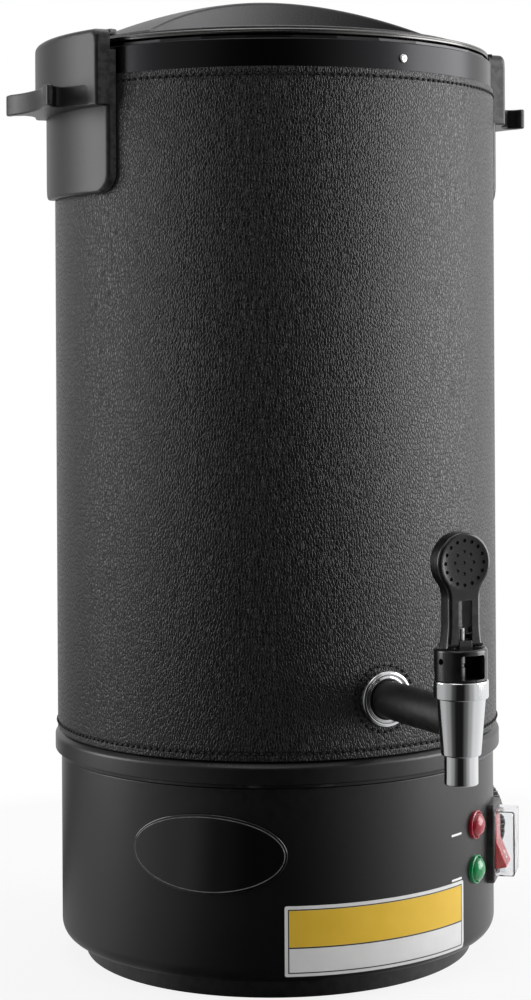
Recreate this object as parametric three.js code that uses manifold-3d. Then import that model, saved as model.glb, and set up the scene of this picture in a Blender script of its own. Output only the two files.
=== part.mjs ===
// Electric wax melting pot: a heated steel pot in a leatherette jacket, on a round control base.
// Millimetres, +Z up. The origin is on the pot's axis, on the surface that the pot stands on.
// The tap points to -Y and the two side handles lie on the X axis.
import * as THREE from 'three';
import { mergeVertices } from 'three/addons/utils/BufferGeometryUtils.js';
import Module from 'manifold-3d';

const wasm = await Module();
wasm.setup();

// Driving dimensions

// Fits and facets
const GAP = 0.3; // clearance between two pieces that rest on each other
const OVERRUN = 6; // how far a cutting tool runs past what it cuts
const BIG_SIDES = 56; // sides of the large visible rounds
const HIDDEN_SIDES = 32; // sides of the large hidden rounds
const MID_SIDES = 20; // sides of the tap, knob and lamps
const SMALL_SIDES = 8; // sides of screws, pins and small holes
const NUT_SIDES = 6;

// Jacket, outer shell and inner pot
const WRAP_RADIUS = 117.5;
const WRAP_THICKNESS = 0.8;
const BAND_HEIGHT = 13.8; // how much of the shell shows over the wrap
const SHELL_WALL = 0.8;
const SHELL_HEIGHT = 351.5;
const SHELL_LIP_DEPTH = 5;
const POT_JACKET_SPACE = 11.8; // between the pot's side and the shell
const POT_WALL = 0.8;
const POT_FLOOR_RISE = 9.3; // over the collar
const POT_FLOOR_ROUND = 4;
const POT_FLANGE_INSET = 1.9; // inside the shell's side
const POT_FLANGE_THICKNESS = 1.2;
const SLEEVE_THICKNESS = 5;
const SLEEVE_RISE = 6; // over the pot's floor
const SLEEVE_DROP = 8.5; // below the shell's top edge
const BAND_RIVET_ANGLE = 6.3;
const BAND_RIVET_DROP = 7.9; // below the shell's top edge
const BAND_RIVET_RADIUS = 1.5;
const BAND_RIVET_HEAD = 0.7;

// Base, collar and bottom cover
const COLLAR_PROUD = 3.2; // past the base's side
const BASE_HEIGHT = 95.4; // up to the collar
const COLLAR_HEIGHT = 12.7;
const COLLAR_ROUND = 2.4;
const COLLAR_WALL = 3;
const COLLAR_SPIGOT = 5.5; // how far the collar reaches into the shell and the base
const BASE_INSET = 1.9; // inside the wrap's side
const BASE_WALL = 2.5;
const BASE_BOTTOM = 10.6;
const BASE_ROUND_WIDTH = 5.4;
const BASE_ROUND_HEIGHT = 7.2;
const BASE_FLOOR_WIDTH = 31.6;
const FOOT_INSET = 12.7; // inside the base's side
const FOOT_FLOOR = 2.5;
const FOOT_WALL = 2.5;
const BOTTOM_SCREW_INSET = 10.9; // inside the foot's side
const BOTTOM_SCREW_COUNT = 4;
const BOTTOM_SCREW_START = 45;
const SCREW_RADIUS = 2;
const SCREW_HEAD_RADIUS = 4;
const SCREW_HEAD_THICKNESS = 2.4;
const SCREW_HEAD_SINK = 2;
const SCREW_BITE = 8; // thread length in the piece that holds the screw
const SCREW_BOSS_WALL = 2.6;

// Side handles
const HANDLE_HALF_WIDTH = 42.5;
const HANDLE_PLATE_THICKNESS = 4.8;
const HANDLE_UPPER_THICKNESS = 10.8;
const HANDLE_HEIGHT = 81.5;
const HANDLE_RISE = 8.5; // over the shell's top edge
const HANDLE_CORNER = 7;
const HANDLE_TOP_ROUND = 3;
const HANDLE_HOOK_CLEARANCE = 0.8; // between the lid's edge and the hook
const EAR_THICKNESS = 10.8;
const EAR_DROP = 27.7; // from the handle's top to the grip's
const EAR_LENGTH = 12.9; // from the upper plate's face to the grip's corners
const EAR_HOLLOW = 4.5; // how far the grip's outer face bows inwards
const EAR_TIP_HALF_WIDTH = 29;
const EAR_WAIST_HALF_WIDTH = 23.5;
const EAR_ROOT_HALF_WIDTH = 29;
const EAR_ROOT_FLARE = 5;
const EAR_CORNER = 7;
const EAR_EDGE = 1.6;
const EAR_FILLET = 6;
const NOTCH_DROP = 6.6; // below the lid disc's top
const NOTCH_RISE = 0.8; // over the lid disc's top
const NOTCH_CLEARANCE = 1.1; // past the end of the lid's lug
const NOTCH_STOP_ANGLE = 8;
const HANDLE_SCREW_RADIUS = 2.5;
const HANDLE_SCREW_HEAD_RADIUS = 4.5;
const HANDLE_SCREW_HEAD_THICKNESS = 2.4;
const HANDLE_SCREW_BITE = 3.2;
const HANDLE_SCREW_SPREAD = 24; // half the distance between the two screws of a row
const HANDLE_SCREW_RISES = [13.5, 51.5]; // over the handle's bottom edge

// Lid
const LID_EDGE_INSET = 1.4; // inside the shell's side
const LID_DISC_RISE = 3.4; // over the pot's flange
const LID_DISC_THICKNESS = 0.8;
const LID_BEAD_THICKNESS = 2.4;
const LID_BEAD_WIDTH = 5;
const LID_LUG_LENGTH = 4.6; // past the lid's edge
const LID_LUG_HALF_WIDTH = 10;
const LID_COVER_INSET = 10.5; // inside the lid's edge
const LID_COVER_THICKNESS = 2.6;
const LID_CROWN_HEIGHT = 24.4; // of the crown's curve over its own edge
const LID_CROWN_RISE = 3.2; // of the curve's edge over the lid disc
const LID_GRIP_HALF_WIDTH = 20; // at the middle of the grip
const LID_GRIP_SIDE_RADIUS = 181; // hollow curve of the grip's sides
const LID_SEAL_WIDTH = 3;
const LID_SEAL_INSET = 7.4; // inside the lid's edge
const LID_SCREW_INSET = 32.5; // inside the cover's edge

// Tap
const TAP_RISE = 19.2; // of the shank's axis over the pot's floor
const TAP_OVERHANG = 70; // from the wrap's side to the tap's upright axis
const SHANK_RADIUS = 7.7;
const SHANK_BORE_RADIUS = 4.6;
const SHANK_INNER_LENGTH = 11.8; // past the pot's side
const TAP_SLEEVE_RADIUS = 9.25;
const ESCUTCHEON_RADIUS = 14;
const ESCUTCHEON_HOLE_RADIUS = 10.2;
const ESCUTCHEON_HEIGHT = 3;
const ESCUTCHEON_ROUND = 1.4;
const TAP_GASKET_PROUD = 1.2; // past the jacket's surface
const TAP_NUT_RADIUS = 12.5;
const TAP_NUT_THICKNESS = 6;
const TAP_INNER_GASKET_RADIUS = 12;
const TAP_INNER_GASKET_THICKNESS = 2.2;
const CUP_RADIUS = 12.95;
const CUP_RISE = 18.9; // over the shank's axis
const CUP_HEIGHT = 8.3;
const CONE_TOP_RADIUS = 11.55;
const CONE_BOTTOM_RADIUS = 9.25;
const CONE_DROP = 15.9; // below the shank's axis
const SPOUT_RADIUS = 7.9;
const SPOUT_LENGTH = 13.6;
const SPOUT_BORE_RADIUS = 6.2;
const SEAT_DROP = 11.2; // below the shank's axis
const SEAT_THICKNESS = 2;
const SEAT_HOLE_RADIUS = 4.6;
const CHAMBER_RADIUS = 7.6;
const CUP_BORE_RADIUS = 10.4;
const CUP_BORE_DEPTH = 6;
const BONNET_RADIUS = 12.5;
const BONNET_HEIGHT = 14.6; // over the gap above the cup
const BONNET_EDGE = 1.2;
const BONNET_SLOT_HEIGHT = 11;
const STEM_RADIUS = 3.1;
const STEM_TIP_RADIUS = 2;
const STEM_TIP_LENGTH = 9;
const STEM_SHOULDER_RISE = 2.3; // over the shank's axis
const STEM_RISE = 9.4; // past the bonnet's top
const SEAT_CUP_RADIUS = 6.2;
const SEAT_CUP_NOSE_RADIUS = 3.6;
const SEAT_CUP_NOSE_HEIGHT = 3;
const STEM_CLEARANCE = 0.4;

// Tap lever
const LEVER_PIN_RISE = 5.5; // over the bonnet's top
const LEVER_PIN_RADIUS = 1.5;
const LEVER_FOOT_HALF_WIDTH = 10;
const LEVER_NECK_HALF_WIDTH = 8.45;
const LEVER_FOOT_HALF_DEPTH = 6.5;
const LEVER_NECK_HALF_DEPTH = 4.5;
const LEVER_FOOT_HEIGHT = 10;
const LEVER_DISC_RADIUS = 14.2;
const LEVER_DISC_RISE = 39.4; // over the bonnet's top
const LEVER_SLOT_WIDTH = 7.1;
const LEVER_SLOT_RISE = 19.6; // over the bonnet's top
const LEVER_DISH_RADIUS = 12.4;
const LEVER_DISH_DEPTH = 0.6;

// Controls on the base, each at its own angle from the tap
const LAMP_ANGLE = 34;
const LAMP_RADIUS = 7.35;
const LAMP_RIM = 1.2;
const LAMP_DOME_HEIGHT = 3.6;
const LAMP_STEM_RADIUS = 4.7;
const LAMP_STEM_LENGTH = 9;
const LAMP_BODY_RADIUS = 7;
const LAMP_BODY_LENGTH = 16;
const HEATING_LAMP_DROP = 32.1; // below the collar
const LAMP_SPACING = 22.7;
const SWITCH_ANGLE = 50;
const SWITCH_DROP = 47; // below the collar
const SWITCH_FLANGE_WIDTH = 25;
const SWITCH_FLANGE_HEIGHT = 41;
const SWITCH_FLANGE_PROUD = 3; // past the base at the flange's middle
const SWITCH_BODY_WIDTH = 22;
const SWITCH_BODY_HEIGHT = 35;
const SWITCH_BODY_DEPTH = 22;
const SWITCH_CAVITY_DEPTH = 10;
const SWITCH_TERMINAL_LENGTH = 8;
const SWITCH_TERMINAL_WIDTH = 6;
const SWITCH_TERMINAL_THICKNESS = 0.8;
const SWITCH_TERMINAL_SPACING = 10;
const ROCKER_WIDTH = 16;
const ROCKER_HALF_HEIGHT = 14;
const ROCKER_END_HEIGHT = 6.5; // from the pivot to the end edges of the rocking face
const ROCKER_VALLEY_HEIGHT = 3.8;
const ROCKER_SHOULDER_HEIGHT = 0.5;
const ROCKER_BACK_HEIGHT = 5;
const ROCKER_BACK_HALF_HEIGHT = 6;
const ROCKER_TILT = 12; // degrees to each side of the middle
const ROCKER_SIDE_CLEARANCE = 0.5;
const ROCKER_END_CLEARANCE = 1.6;
const TRUNNION_RADIUS = 1.6;
const TRUNNION_LENGTH = 1.6;
const DUST_COVER_HEIGHT = 34;
const DUST_COVER_WIDTH = 20.5;
const DUST_COVER_PROUD = 10;
const DUST_COVER_WALL = 0.9;
const DUST_COVER_ROUND = 2;
const KNOB_ANGLE = 87;
const KNOB_DROP = 52; // below the collar
const KNOB_RADIUS = 22;
const KNOB_DEPTH = 12;
const KNOB_RIB_DEPTH = 1;
const KNOB_RIB_COUNT = 30;
const KNOB_SHAFT_DEPTH = 8;
const KNOB_EDGE = 1.2;
const DIAL_RING_RADIUS = 24;
const DIAL_RING_PROUD = 1.5;
const THERMOSTAT_RADIUS = 17;
const THERMOSTAT_LENGTH = 24;
const THERMOSTAT_NECK_RADIUS = 5;
const THERMOSTAT_SHAFT_RADIUS = 3;
const THERMOSTAT_WALL_CLEARANCE = 0.5;

// Heating parts
const HEATER_PLATE_INSET = 18; // inside the pot's side
const HEATER_PLATE_THICKNESS = 5;
const ELEMENT_INSET = 23; // inside the heater plate's edge
const ELEMENT_RADIUS = 4;
const ELEMENT_SWEEP = 320;
const ELEMENT_LEG_LENGTH = 14;
const CUTOUT_RADIUS = 8;
const CUTOUT_HEIGHT = 9;
const BULB_RADIUS = 3;
const BULB_LENGTH = 55;
const BULB_INSET = 27; // inside the element's ring
const CAPILLARY_RADIUS = 1.2;

// Name plates and cord inlet
const PLATE_THICKNESS = 0.5;
const LABEL_ANGLES = [-25.5, 27.2];
const LABEL_RISE = 3.4; // over the base's bottom
const LABEL_HEIGHT = 34.5;
const BADGE_ANGLE = -44.8;
const BADGE_DROP = 33; // below the collar
const BADGE_HALF_WIDTH = 40.7;
const BADGE_HALF_HEIGHT = 19.7;
const BADGE_THICKNESS = 0.9;
const GLAND_ANGLE = 180;
const GLAND_RISE = 23.4; // over the base's bottom
const GLAND_RADIUS = 8;
const GLAND_FLANGE_RADIUS = 11;
const GLAND_FLANGE_THICKNESS = 3;
const GLAND_NOSE_RADIUS = 7;
const GLAND_NOSE_LENGTH = 9;
const GLAND_BORE_RADIUS = 3.8;
const GLAND_NUT_RADIUS = 12;
const GLAND_NUT_THICKNESS = 4;

// Sizes that follow from the ones above

// Base, collar and bottom cover
const footTop = BASE_BOTTOM - GAP;
const baseFloorTop = BASE_BOTTOM + BASE_WALL;
const collarBottom = BASE_BOTTOM + BASE_HEIGHT;
const baseTop = collarBottom - GAP;
const collarTop = collarBottom + COLLAR_HEIGHT;
const baseRadius = WRAP_RADIUS - BASE_INSET;
const baseInnerRadius = baseRadius - BASE_WALL;
const onBase = baseRadius + GAP;
const collarRadius = baseRadius + COLLAR_PROUD;
const footRadius = baseRadius - FOOT_INSET;
const baseFloorInnerRadius = baseRadius - BASE_FLOOR_WIDTH;
const bottomScrewRing = footRadius - BOTTOM_SCREW_INSET;

// Jacket, outer shell and inner pot
const shellBottom = collarTop + GAP;
const shellTop = shellBottom + SHELL_HEIGHT;
const wrapTop = shellTop - BAND_HEIGHT;
const onWrap = WRAP_RADIUS + GAP;
const shellRadius = WRAP_RADIUS - WRAP_THICKNESS - GAP;
const shellInnerRadius = shellRadius - SHELL_WALL;
const potOuterRadius = shellInnerRadius - POT_JACKET_SPACE;
const potInnerRadius = potOuterRadius - POT_WALL;
const potFloorTop = collarTop + POT_FLOOR_RISE;
const potFloorBottom = potFloorTop - POT_WALL;
const potFlangeBottom = shellTop + GAP;
const potFlangeTop = potFlangeBottom + POT_FLANGE_THICKNESS;
const potFlangeRadius = shellRadius - POT_FLANGE_INSET;
const sleeveBottom = potFloorTop + SLEEVE_RISE;
const sleeveTop = shellTop - SLEEVE_DROP;

// Lid
const lidDiscTop = potFlangeTop + LID_DISC_RISE;
const lidDiscBottom = lidDiscTop - LID_DISC_THICKNESS;
const lidCoverBottom = lidDiscTop + GAP;
const lidFloorTop = lidCoverBottom + LID_COVER_THICKNESS;
const lidCrownEdge = lidDiscTop + LID_CROWN_RISE;
const lidCrownTop = lidCrownEdge + LID_CROWN_HEIGHT;
const lidEdgeRadius = shellRadius - LID_EDGE_INSET;
const lidLugRadius = lidEdgeRadius + LID_LUG_LENGTH;
const lidCoverRadius = lidEdgeRadius - LID_COVER_INSET;
const lidSealRadius = lidEdgeRadius - LID_SEAL_INSET;
const lidScrewOffset = lidCoverRadius - LID_SCREW_INSET;

// Side handles
const handleTop = shellTop + HANDLE_RISE;
const handleBottom = handleTop - HANDLE_HEIGHT;
const handlePlateRadius = onWrap + HANDLE_PLATE_THICKNESS;
const handleUpperRadius = onWrap + HANDLE_UPPER_THICKNESS;
const hookInnerRadius = lidEdgeRadius + HANDLE_HOOK_CLEARANCE;
const earTop = handleTop - EAR_DROP;
const earBottom = earTop - EAR_THICKNESS;
const earReach = handleUpperRadius + EAR_LENGTH;
const notchBottom = lidDiscTop - NOTCH_DROP;
const notchTop = lidDiscTop + NOTCH_RISE;
const notchRadius = lidLugRadius + NOTCH_CLEARANCE;
const handleScrewHeights = HANDLE_SCREW_RISES.map((rise) => handleBottom + rise);

// Tap and its lever
const tapHeight = potFloorTop + TAP_RISE;
const tapReach = WRAP_RADIUS + TAP_OVERHANG;
const shankHoleRadius = SHANK_RADIUS + GAP;
const shankInnerEnd = potOuterRadius - SHANK_INNER_LENGTH;
const cupTop = tapHeight + CUP_RISE;
const cupBottomHeight = cupTop - CUP_HEIGHT;
const coneBottom = tapHeight - CONE_DROP;
const spoutBottom = coneBottom - SPOUT_LENGTH;
const seatHeight = tapHeight - SEAT_DROP;
const bonnetTop = cupTop + GAP + BONNET_HEIGHT;
const stemShoulder = tapHeight + STEM_SHOULDER_RISE;
const stemTop = bonnetTop + STEM_RISE;
const leverPinHeight = bonnetTop + LEVER_PIN_RISE;
const leverDiscHeight = bonnetTop + LEVER_DISC_RISE;
const leverSlotTop = bonnetTop + LEVER_SLOT_RISE;

// Controls on the base
const heatingLampHeight = collarBottom - HEATING_LAMP_DROP;
const standbyLampHeight = heatingLampHeight - LAMP_SPACING;
const switchHeight = collarBottom - SWITCH_DROP;
const switchFace = baseRadius + SWITCH_FLANGE_PROUD;
const rockerPivot = baseRadius;
const knobHeight = collarBottom - KNOB_DROP;
const knobBack = baseRadius + DIAL_RING_PROUD + GAP;

// Heating parts
const heaterPlateTop = potFloorBottom - GAP;
const heaterPlateBottom = heaterPlateTop - HEATER_PLATE_THICKNESS;
const heaterPlateRadius = potInnerRadius - HEATER_PLATE_INSET;
const elementRingRadius = heaterPlateRadius - ELEMENT_INSET;
const bulbOffset = elementRingRadius - BULB_INSET;

// Name plates and cord inlet
const labelBottom = BASE_BOTTOM + LABEL_RISE;
const labelTop = labelBottom + LABEL_HEIGHT;
const badgeHeight = collarBottom - BADGE_DROP;
const glandHeight = BASE_BOTTOM + GLAND_RISE;

const degrees = THREE.MathUtils.degToRad;
const FULL_TURN = 360;
const HALF_TURN = 180;
const QUARTER_TURN = 90;
const HALF = 0.5;

// Solids: every shape below is a closed BufferGeometry, joined and cut as a manifold

// A solid that a join or a cut made keeps its own shared vertices
function toManifold(geometry) {
  const plain = geometry.clone();
  plain.deleteAttribute('normal');
  plain.deleteAttribute('uv');
  const merged = geometry.userData.shared ? plain : mergeVertices(plain);
  const vertProperties = new Float32Array(merged.attributes.position.array);
  const triVerts = new Uint32Array(merged.index.array);
  return new wasm.Manifold(new wasm.Mesh({ numProp: 3, vertProperties, triVerts }));
}

function toGeometry(manifold) {
  const mesh = manifold.getMesh();
  const geometry = new THREE.BufferGeometry();
  geometry.setAttribute('position', new THREE.BufferAttribute(new Float32Array(mesh.vertProperties), 3));
  geometry.setIndex(new THREE.BufferAttribute(new Uint32Array(mesh.triVerts), 1));
  geometry.computeVertexNormals();
  geometry.userData.shared = true;
  return geometry;
}

function join(first, ...others) {
  return toGeometry(others.reduce((whole, other) => whole.add(toManifold(other)), toManifold(first)));
}

function cut(blank, ...tools) {
  return toGeometry(tools.reduce((whole, tool) => whole.subtract(toManifold(tool)), toManifold(blank)));
}

function common(first, ...others) {
  return toGeometry(others.reduce((whole, other) => whole.intersect(toManifold(other)), toManifold(first)));
}

// A body turned about Z from [radius, height] points
function turned(points, sides) {
  const closed = [...points, points[0]].map(([r, z]) => new THREE.Vector2(r, z));
  return new THREE.LatheGeometry(closed, sides).rotateX(degrees(QUARTER_TURN));
}

function disc(radius, bottom, top, sides) {
  return turned([[0, bottom], [radius, bottom], [radius, top], [0, top]], sides);
}

function tube(inner, outer, bottom, top, sides) {
  return turned([[inner, bottom], [outer, bottom], [outer, top], [inner, top]], sides);
}

// A turned body laid along -Y, so that its heights become distances from the pot's axis
function outward(geometry) {
  return geometry.rotateX(degrees(QUARTER_TURN));
}

function block(width, depth, bottom, top) {
  const height = top - bottom;
  return new THREE.BoxGeometry(width, depth, height).translate(0, 0, bottom + height * HALF);
}

// A flat outline in X and Z with a thickness along Y, about the XZ plane
function slab(shape, depth, curveSegments) {
  const settings = { depth, bevelEnabled: false, curveSegments };
  return new THREE.ExtrudeGeometry(shape, settings)
    .translate(0, 0, -depth * HALF)
    .rotateX(degrees(QUARTER_TURN));
}

// A flat outline in X and Y with a height
function prism(shape, bottom, top, curveSegments) {
  const settings = { depth: top - bottom, bevelEnabled: false, curveSegments };
  return new THREE.ExtrudeGeometry(shape, settings).translate(0, 0, bottom);
}

function outline(points) {
  return new THREE.Shape(points.map(([x, y]) => new THREE.Vector2(x, y)));
}

function roundedRectangle(width, height, radius) {
  const x = width * HALF;
  const y = height * HALF;
  const shape = new THREE.Shape();
  shape.moveTo(-x + radius, -y);
  shape.lineTo(x - radius, -y);
  shape.quadraticCurveTo(x, -y, x, -y + radius);
  shape.lineTo(x, y - radius);
  shape.quadraticCurveTo(x, y, x - radius, y);
  shape.lineTo(-x + radius, y);
  shape.quadraticCurveTo(-x, y, -x, y - radius);
  shape.lineTo(-x, -y + radius);
  shape.quadraticCurveTo(-x, -y, -x + radius, -y);
  return shape;
}

// A wedge seen from above, from one angle to another, measured from -Y towards +X
function wedge(fromAngle, toAngle, reach, bottom, top) {
  const steps = Math.ceil((toAngle - fromAngle) / (QUARTER_TURN * HALF));
  const rim = Array.from({ length: steps + 1 }, (_, i) => {
    const angle = degrees(fromAngle + ((toAngle - fromAngle) * i) / steps);
    return [reach * Math.sin(angle), -reach * Math.cos(angle)];
  });
  return prism(outline([[0, 0], ...rim]), bottom, top, 1);
}

function ringOfPlaces(radius, count, startAngle) {
  return Array.from({ length: count }, (_, i) => {
    const angle = degrees(startAngle + (FULL_TURN * i) / count);
    return [radius * Math.cos(angle), radius * Math.sin(angle)];
  });
}

// Nodes

function finish(color, roughness, metalness = 0) {
  return new THREE.MeshStandardMaterial({ color, roughness, metalness });
}

const leatherette = finish('#1d1d1e', 0.6);
const steel = finish('#8a8b8c', 0.3, 1);
const darkSteel = finish('#343536', 0.35, 1);
const chrome = finish('#d9dbdd', 0.12, 1);
const brass = finish('#b8924a', 0.4, 1);
const aluminium = finish('#a9abad', 0.45, 1);
const basePlastic = finish('#161617', 0.35);
const handlePlastic = finish('#2b2a2c', 0.5);
const lidPlastic = finish('#232324', 0.55);
const tapPlastic = finish('#1a1a1b', 0.45);
const silicone = finish('#3a3a3b', 0.7);
const insulation = finish('#d8d2c0', 0.95);
const redPlastic = finish('#c8101c', 0.3);
const redLens = finish('#c4142a', 0.15);
const greenLens = finish('#1c9a4c', 0.15);
const clearCover = finish('#c9ccd0', 0.15);
const printedPlate = finish('#f2c21c', 0.4);
const darkPlate = finish('#101011', 0.25);

const pot = new THREE.Group();

function add(name, geometry, material, parent = pot) {
  const mesh = new THREE.Mesh(geometry, material);
  mesh.name = name;
  parent.add(mesh);
  return mesh;
}

function groupAt(angle, height = 0) {
  const group = new THREE.Group();
  group.rotation.z = degrees(angle);
  group.position.z = height;
  pot.add(group);
  return group;
}

// Holes for the handle screws, through the jacket and the shell
function handleScrewPlaces() {
  return [0, HALF_TURN].flatMap((turn) =>
    handleScrewHeights.flatMap((height) => [-1, 1].map((side) => ({ turn, height, side }))),
  );
}

function alongHandleScrew(radius, from, to, place) {
  return disc(radius, from, to, SMALL_SIDES)
    .rotateY(degrees(QUARTER_TURN))
    .translate(0, place.side * HANDLE_SCREW_SPREAD, place.height)
    .rotateZ(degrees(place.turn));
}

function handleScrewHoles(from, to) {
  return handleScrewPlaces().map((place) => alongHandleScrew(HANDLE_SCREW_RADIUS + GAP, from, to, place));
}

// A round hole through one wall, on the tap's line
function tapHole(radius, from, to) {
  return outward(disc(radius, from, to, MID_SIDES)).translate(0, 0, tapHeight);
}

function addJacket() {
  const wrap = tube(WRAP_RADIUS - WRAP_THICKNESS, WRAP_RADIUS, shellBottom, wrapTop, BIG_SIDES);
  const from = potInnerRadius;
  const to = WRAP_RADIUS + OVERRUN;
  const holes = [tapHole(ESCUTCHEON_HOLE_RADIUS + GAP, from, to), ...handleScrewHoles(from, to)];
  add('leatherette_wrap', cut(wrap, ...holes), leatherette);

  const lip = shellRadius - SHELL_LIP_DEPTH;
  const lipBottom = shellTop - SHELL_WALL;
  const shell = turned(
    [
      [shellInnerRadius, shellBottom],
      [shellRadius, shellBottom],
      [shellRadius, shellTop],
      [lip, shellTop],
      [lip, lipBottom],
      [shellInnerRadius, lipBottom],
    ],
    BIG_SIDES,
  );
  const rivetHeight = shellTop - BAND_RIVET_DROP;
  const rivetHole = outward(disc(BAND_RIVET_RADIUS + GAP, from, to, SMALL_SIDES))
    .translate(0, 0, rivetHeight)
    .rotateZ(degrees(BAND_RIVET_ANGLE));
  const shellHoles = [tapHole(shankHoleRadius, from, to), rivetHole, ...handleScrewHoles(from, to)];
  add('outer_shell', cut(shell, ...shellHoles), darkSteel);

  const tail = shellInnerRadius - BAND_RIVET_HEAD;
  const head = shellRadius + GAP;
  const headTop = head + BAND_RIVET_HEAD;
  const headRadius = BAND_RIVET_RADIUS + BAND_RIVET_HEAD;
  const rivet = turned(
    [
      [0, tail],
      [BAND_RIVET_RADIUS, tail],
      [BAND_RIVET_RADIUS, head],
      [headRadius, head],
      [BAND_RIVET_RADIUS, headTop],
      [0, headTop],
    ],
    SMALL_SIDES,
  );
  add('band_rivet', outward(rivet), steel, groupAt(BAND_RIVET_ANGLE, rivetHeight));
}

function addInnerPot() {
  const lipInner = potInnerRadius;
  const profile = [
    [0, potFloorBottom],
    [potOuterRadius - POT_FLOOR_ROUND, potFloorBottom],
    [potOuterRadius, potFloorBottom + POT_FLOOR_ROUND],
    [potOuterRadius, potFlangeBottom],
    [potFlangeRadius, potFlangeBottom],
    [potFlangeRadius, potFlangeTop],
    [lipInner, potFlangeTop],
    [lipInner, potFloorTop + POT_FLOOR_ROUND],
    [lipInner - POT_FLOOR_ROUND, potFloorTop],
    [0, potFloorTop],
  ];
  const hole = tapHole(shankHoleRadius, potInnerRadius - OVERRUN, potOuterRadius + OVERRUN);
  add('inner_pot', cut(turned(profile, HIDDEN_SIDES), hole), steel);

  const sleeveInner = potOuterRadius + GAP;
  const sleeveOuter = sleeveInner + SLEEVE_THICKNESS;
  const sleeve = tube(sleeveInner, sleeveOuter, sleeveBottom, sleeveTop, HIDDEN_SIDES);
  const sleeveHole = tapHole(shankHoleRadius, potInnerRadius, sleeveOuter + OVERRUN);
  add('insulation_sleeve', cut(sleeve, sleeveHole), insulation);
}

function addCollar() {
  const spigotOuter = shellInnerRadius - GAP;
  const spigotInner = spigotOuter - COLLAR_WALL;
  const rootOuter = baseInnerRadius - GAP;
  const rootInner = rootOuter - COLLAR_WALL;
  const bead = collarRadius - COLLAR_ROUND;
  const roundShare = 0.3; // how far along the rounded edge its middle point lies
  const profile = [
    [rootInner, collarBottom - COLLAR_SPIGOT],
    [rootOuter, collarBottom - COLLAR_SPIGOT],
    [rootOuter, collarBottom],
    [bead, collarBottom],
    [collarRadius - COLLAR_ROUND * roundShare, collarBottom + COLLAR_ROUND * roundShare],
    [collarRadius, collarBottom + COLLAR_ROUND],
    [collarRadius, collarTop - COLLAR_ROUND],
    [collarRadius - COLLAR_ROUND * roundShare, collarTop - COLLAR_ROUND * roundShare],
    [bead, collarTop],
    [spigotOuter, collarTop],
    [spigotOuter, collarTop + COLLAR_SPIGOT],
    [spigotInner, collarTop + COLLAR_SPIGOT],
    [spigotInner, collarTop],
    [rootInner, collarBottom],
  ];
  add('base_collar', turned(profile, BIG_SIDES), basePlastic);
}

// The base's outer curve from its bottom edge up, moved out by an offset
function baseCurve(offset) {
  const steps = 4;
  return Array.from({ length: steps + 1 }, (_, i) => {
    const angle = degrees((QUARTER_TURN * i) / steps);
    const radius = baseRadius - BASE_ROUND_WIDTH + (BASE_ROUND_WIDTH + offset) * Math.sin(angle);
    const height = BASE_BOTTOM + BASE_ROUND_HEIGHT - (BASE_ROUND_HEIGHT + offset) * Math.cos(angle);
    return [radius, height];
  });
}

function bottomScrewPlaces() {
  return ringOfPlaces(bottomScrewRing, BOTTOM_SCREW_COUNT, BOTTOM_SCREW_START);
}

function addBase() {
  const profile = [
    [baseFloorInnerRadius, BASE_BOTTOM],
    ...baseCurve(0),
    [baseRadius, baseTop],
    [baseInnerRadius, baseTop],
    [baseInnerRadius, BASE_BOTTOM + BASE_ROUND_HEIGHT],
    [baseRadius - BASE_ROUND_WIDTH, baseFloorTop],
    [baseFloorInnerRadius, baseFloorTop],
  ];
  const bossTop = BASE_BOTTOM + SCREW_BITE + SCREW_BOSS_WALL;
  const bossRadius = SCREW_RADIUS + SCREW_BOSS_WALL;
  const bosses = bottomScrewPlaces().map(([x, y]) =>
    disc(bossRadius, BASE_BOTTOM, bossTop, SMALL_SIDES).translate(x, y, 0),
  );
  const threads = bottomScrewPlaces().map(([x, y]) =>
    disc(SCREW_RADIUS + GAP, BASE_BOTTOM - OVERRUN, BASE_BOTTOM + SCREW_BITE + GAP, SMALL_SIDES)
      .translate(x, y, 0),
  );
  const through = [baseInnerRadius - OVERRUN, baseRadius + OVERRUN];
  const roundHole = (radius, angle, height) =>
    outward(disc(radius, ...through, MID_SIDES)).translate(0, 0, height).rotateZ(degrees(angle));
  const switchHole = new THREE.BoxGeometry(
    SWITCH_BODY_WIDTH + GAP + GAP,
    BASE_WALL + OVERRUN + OVERRUN,
    SWITCH_BODY_HEIGHT + GAP + GAP,
  )
    .translate(0, -baseRadius, switchHeight)
    .rotateZ(degrees(SWITCH_ANGLE));
  const holes = [
    roundHole(LAMP_STEM_RADIUS + GAP, LAMP_ANGLE, heatingLampHeight),
    roundHole(LAMP_STEM_RADIUS + GAP, LAMP_ANGLE, standbyLampHeight),
    roundHole(THERMOSTAT_NECK_RADIUS + GAP, KNOB_ANGLE, knobHeight),
    roundHole(GLAND_RADIUS + GAP, GLAND_ANGLE, glandHeight),
    switchHole,
  ];
  const shell = join(turned(profile, BIG_SIDES), ...bosses);
  add('base_shell', cut(shell, ...threads, ...holes), basePlastic);
}

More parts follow.
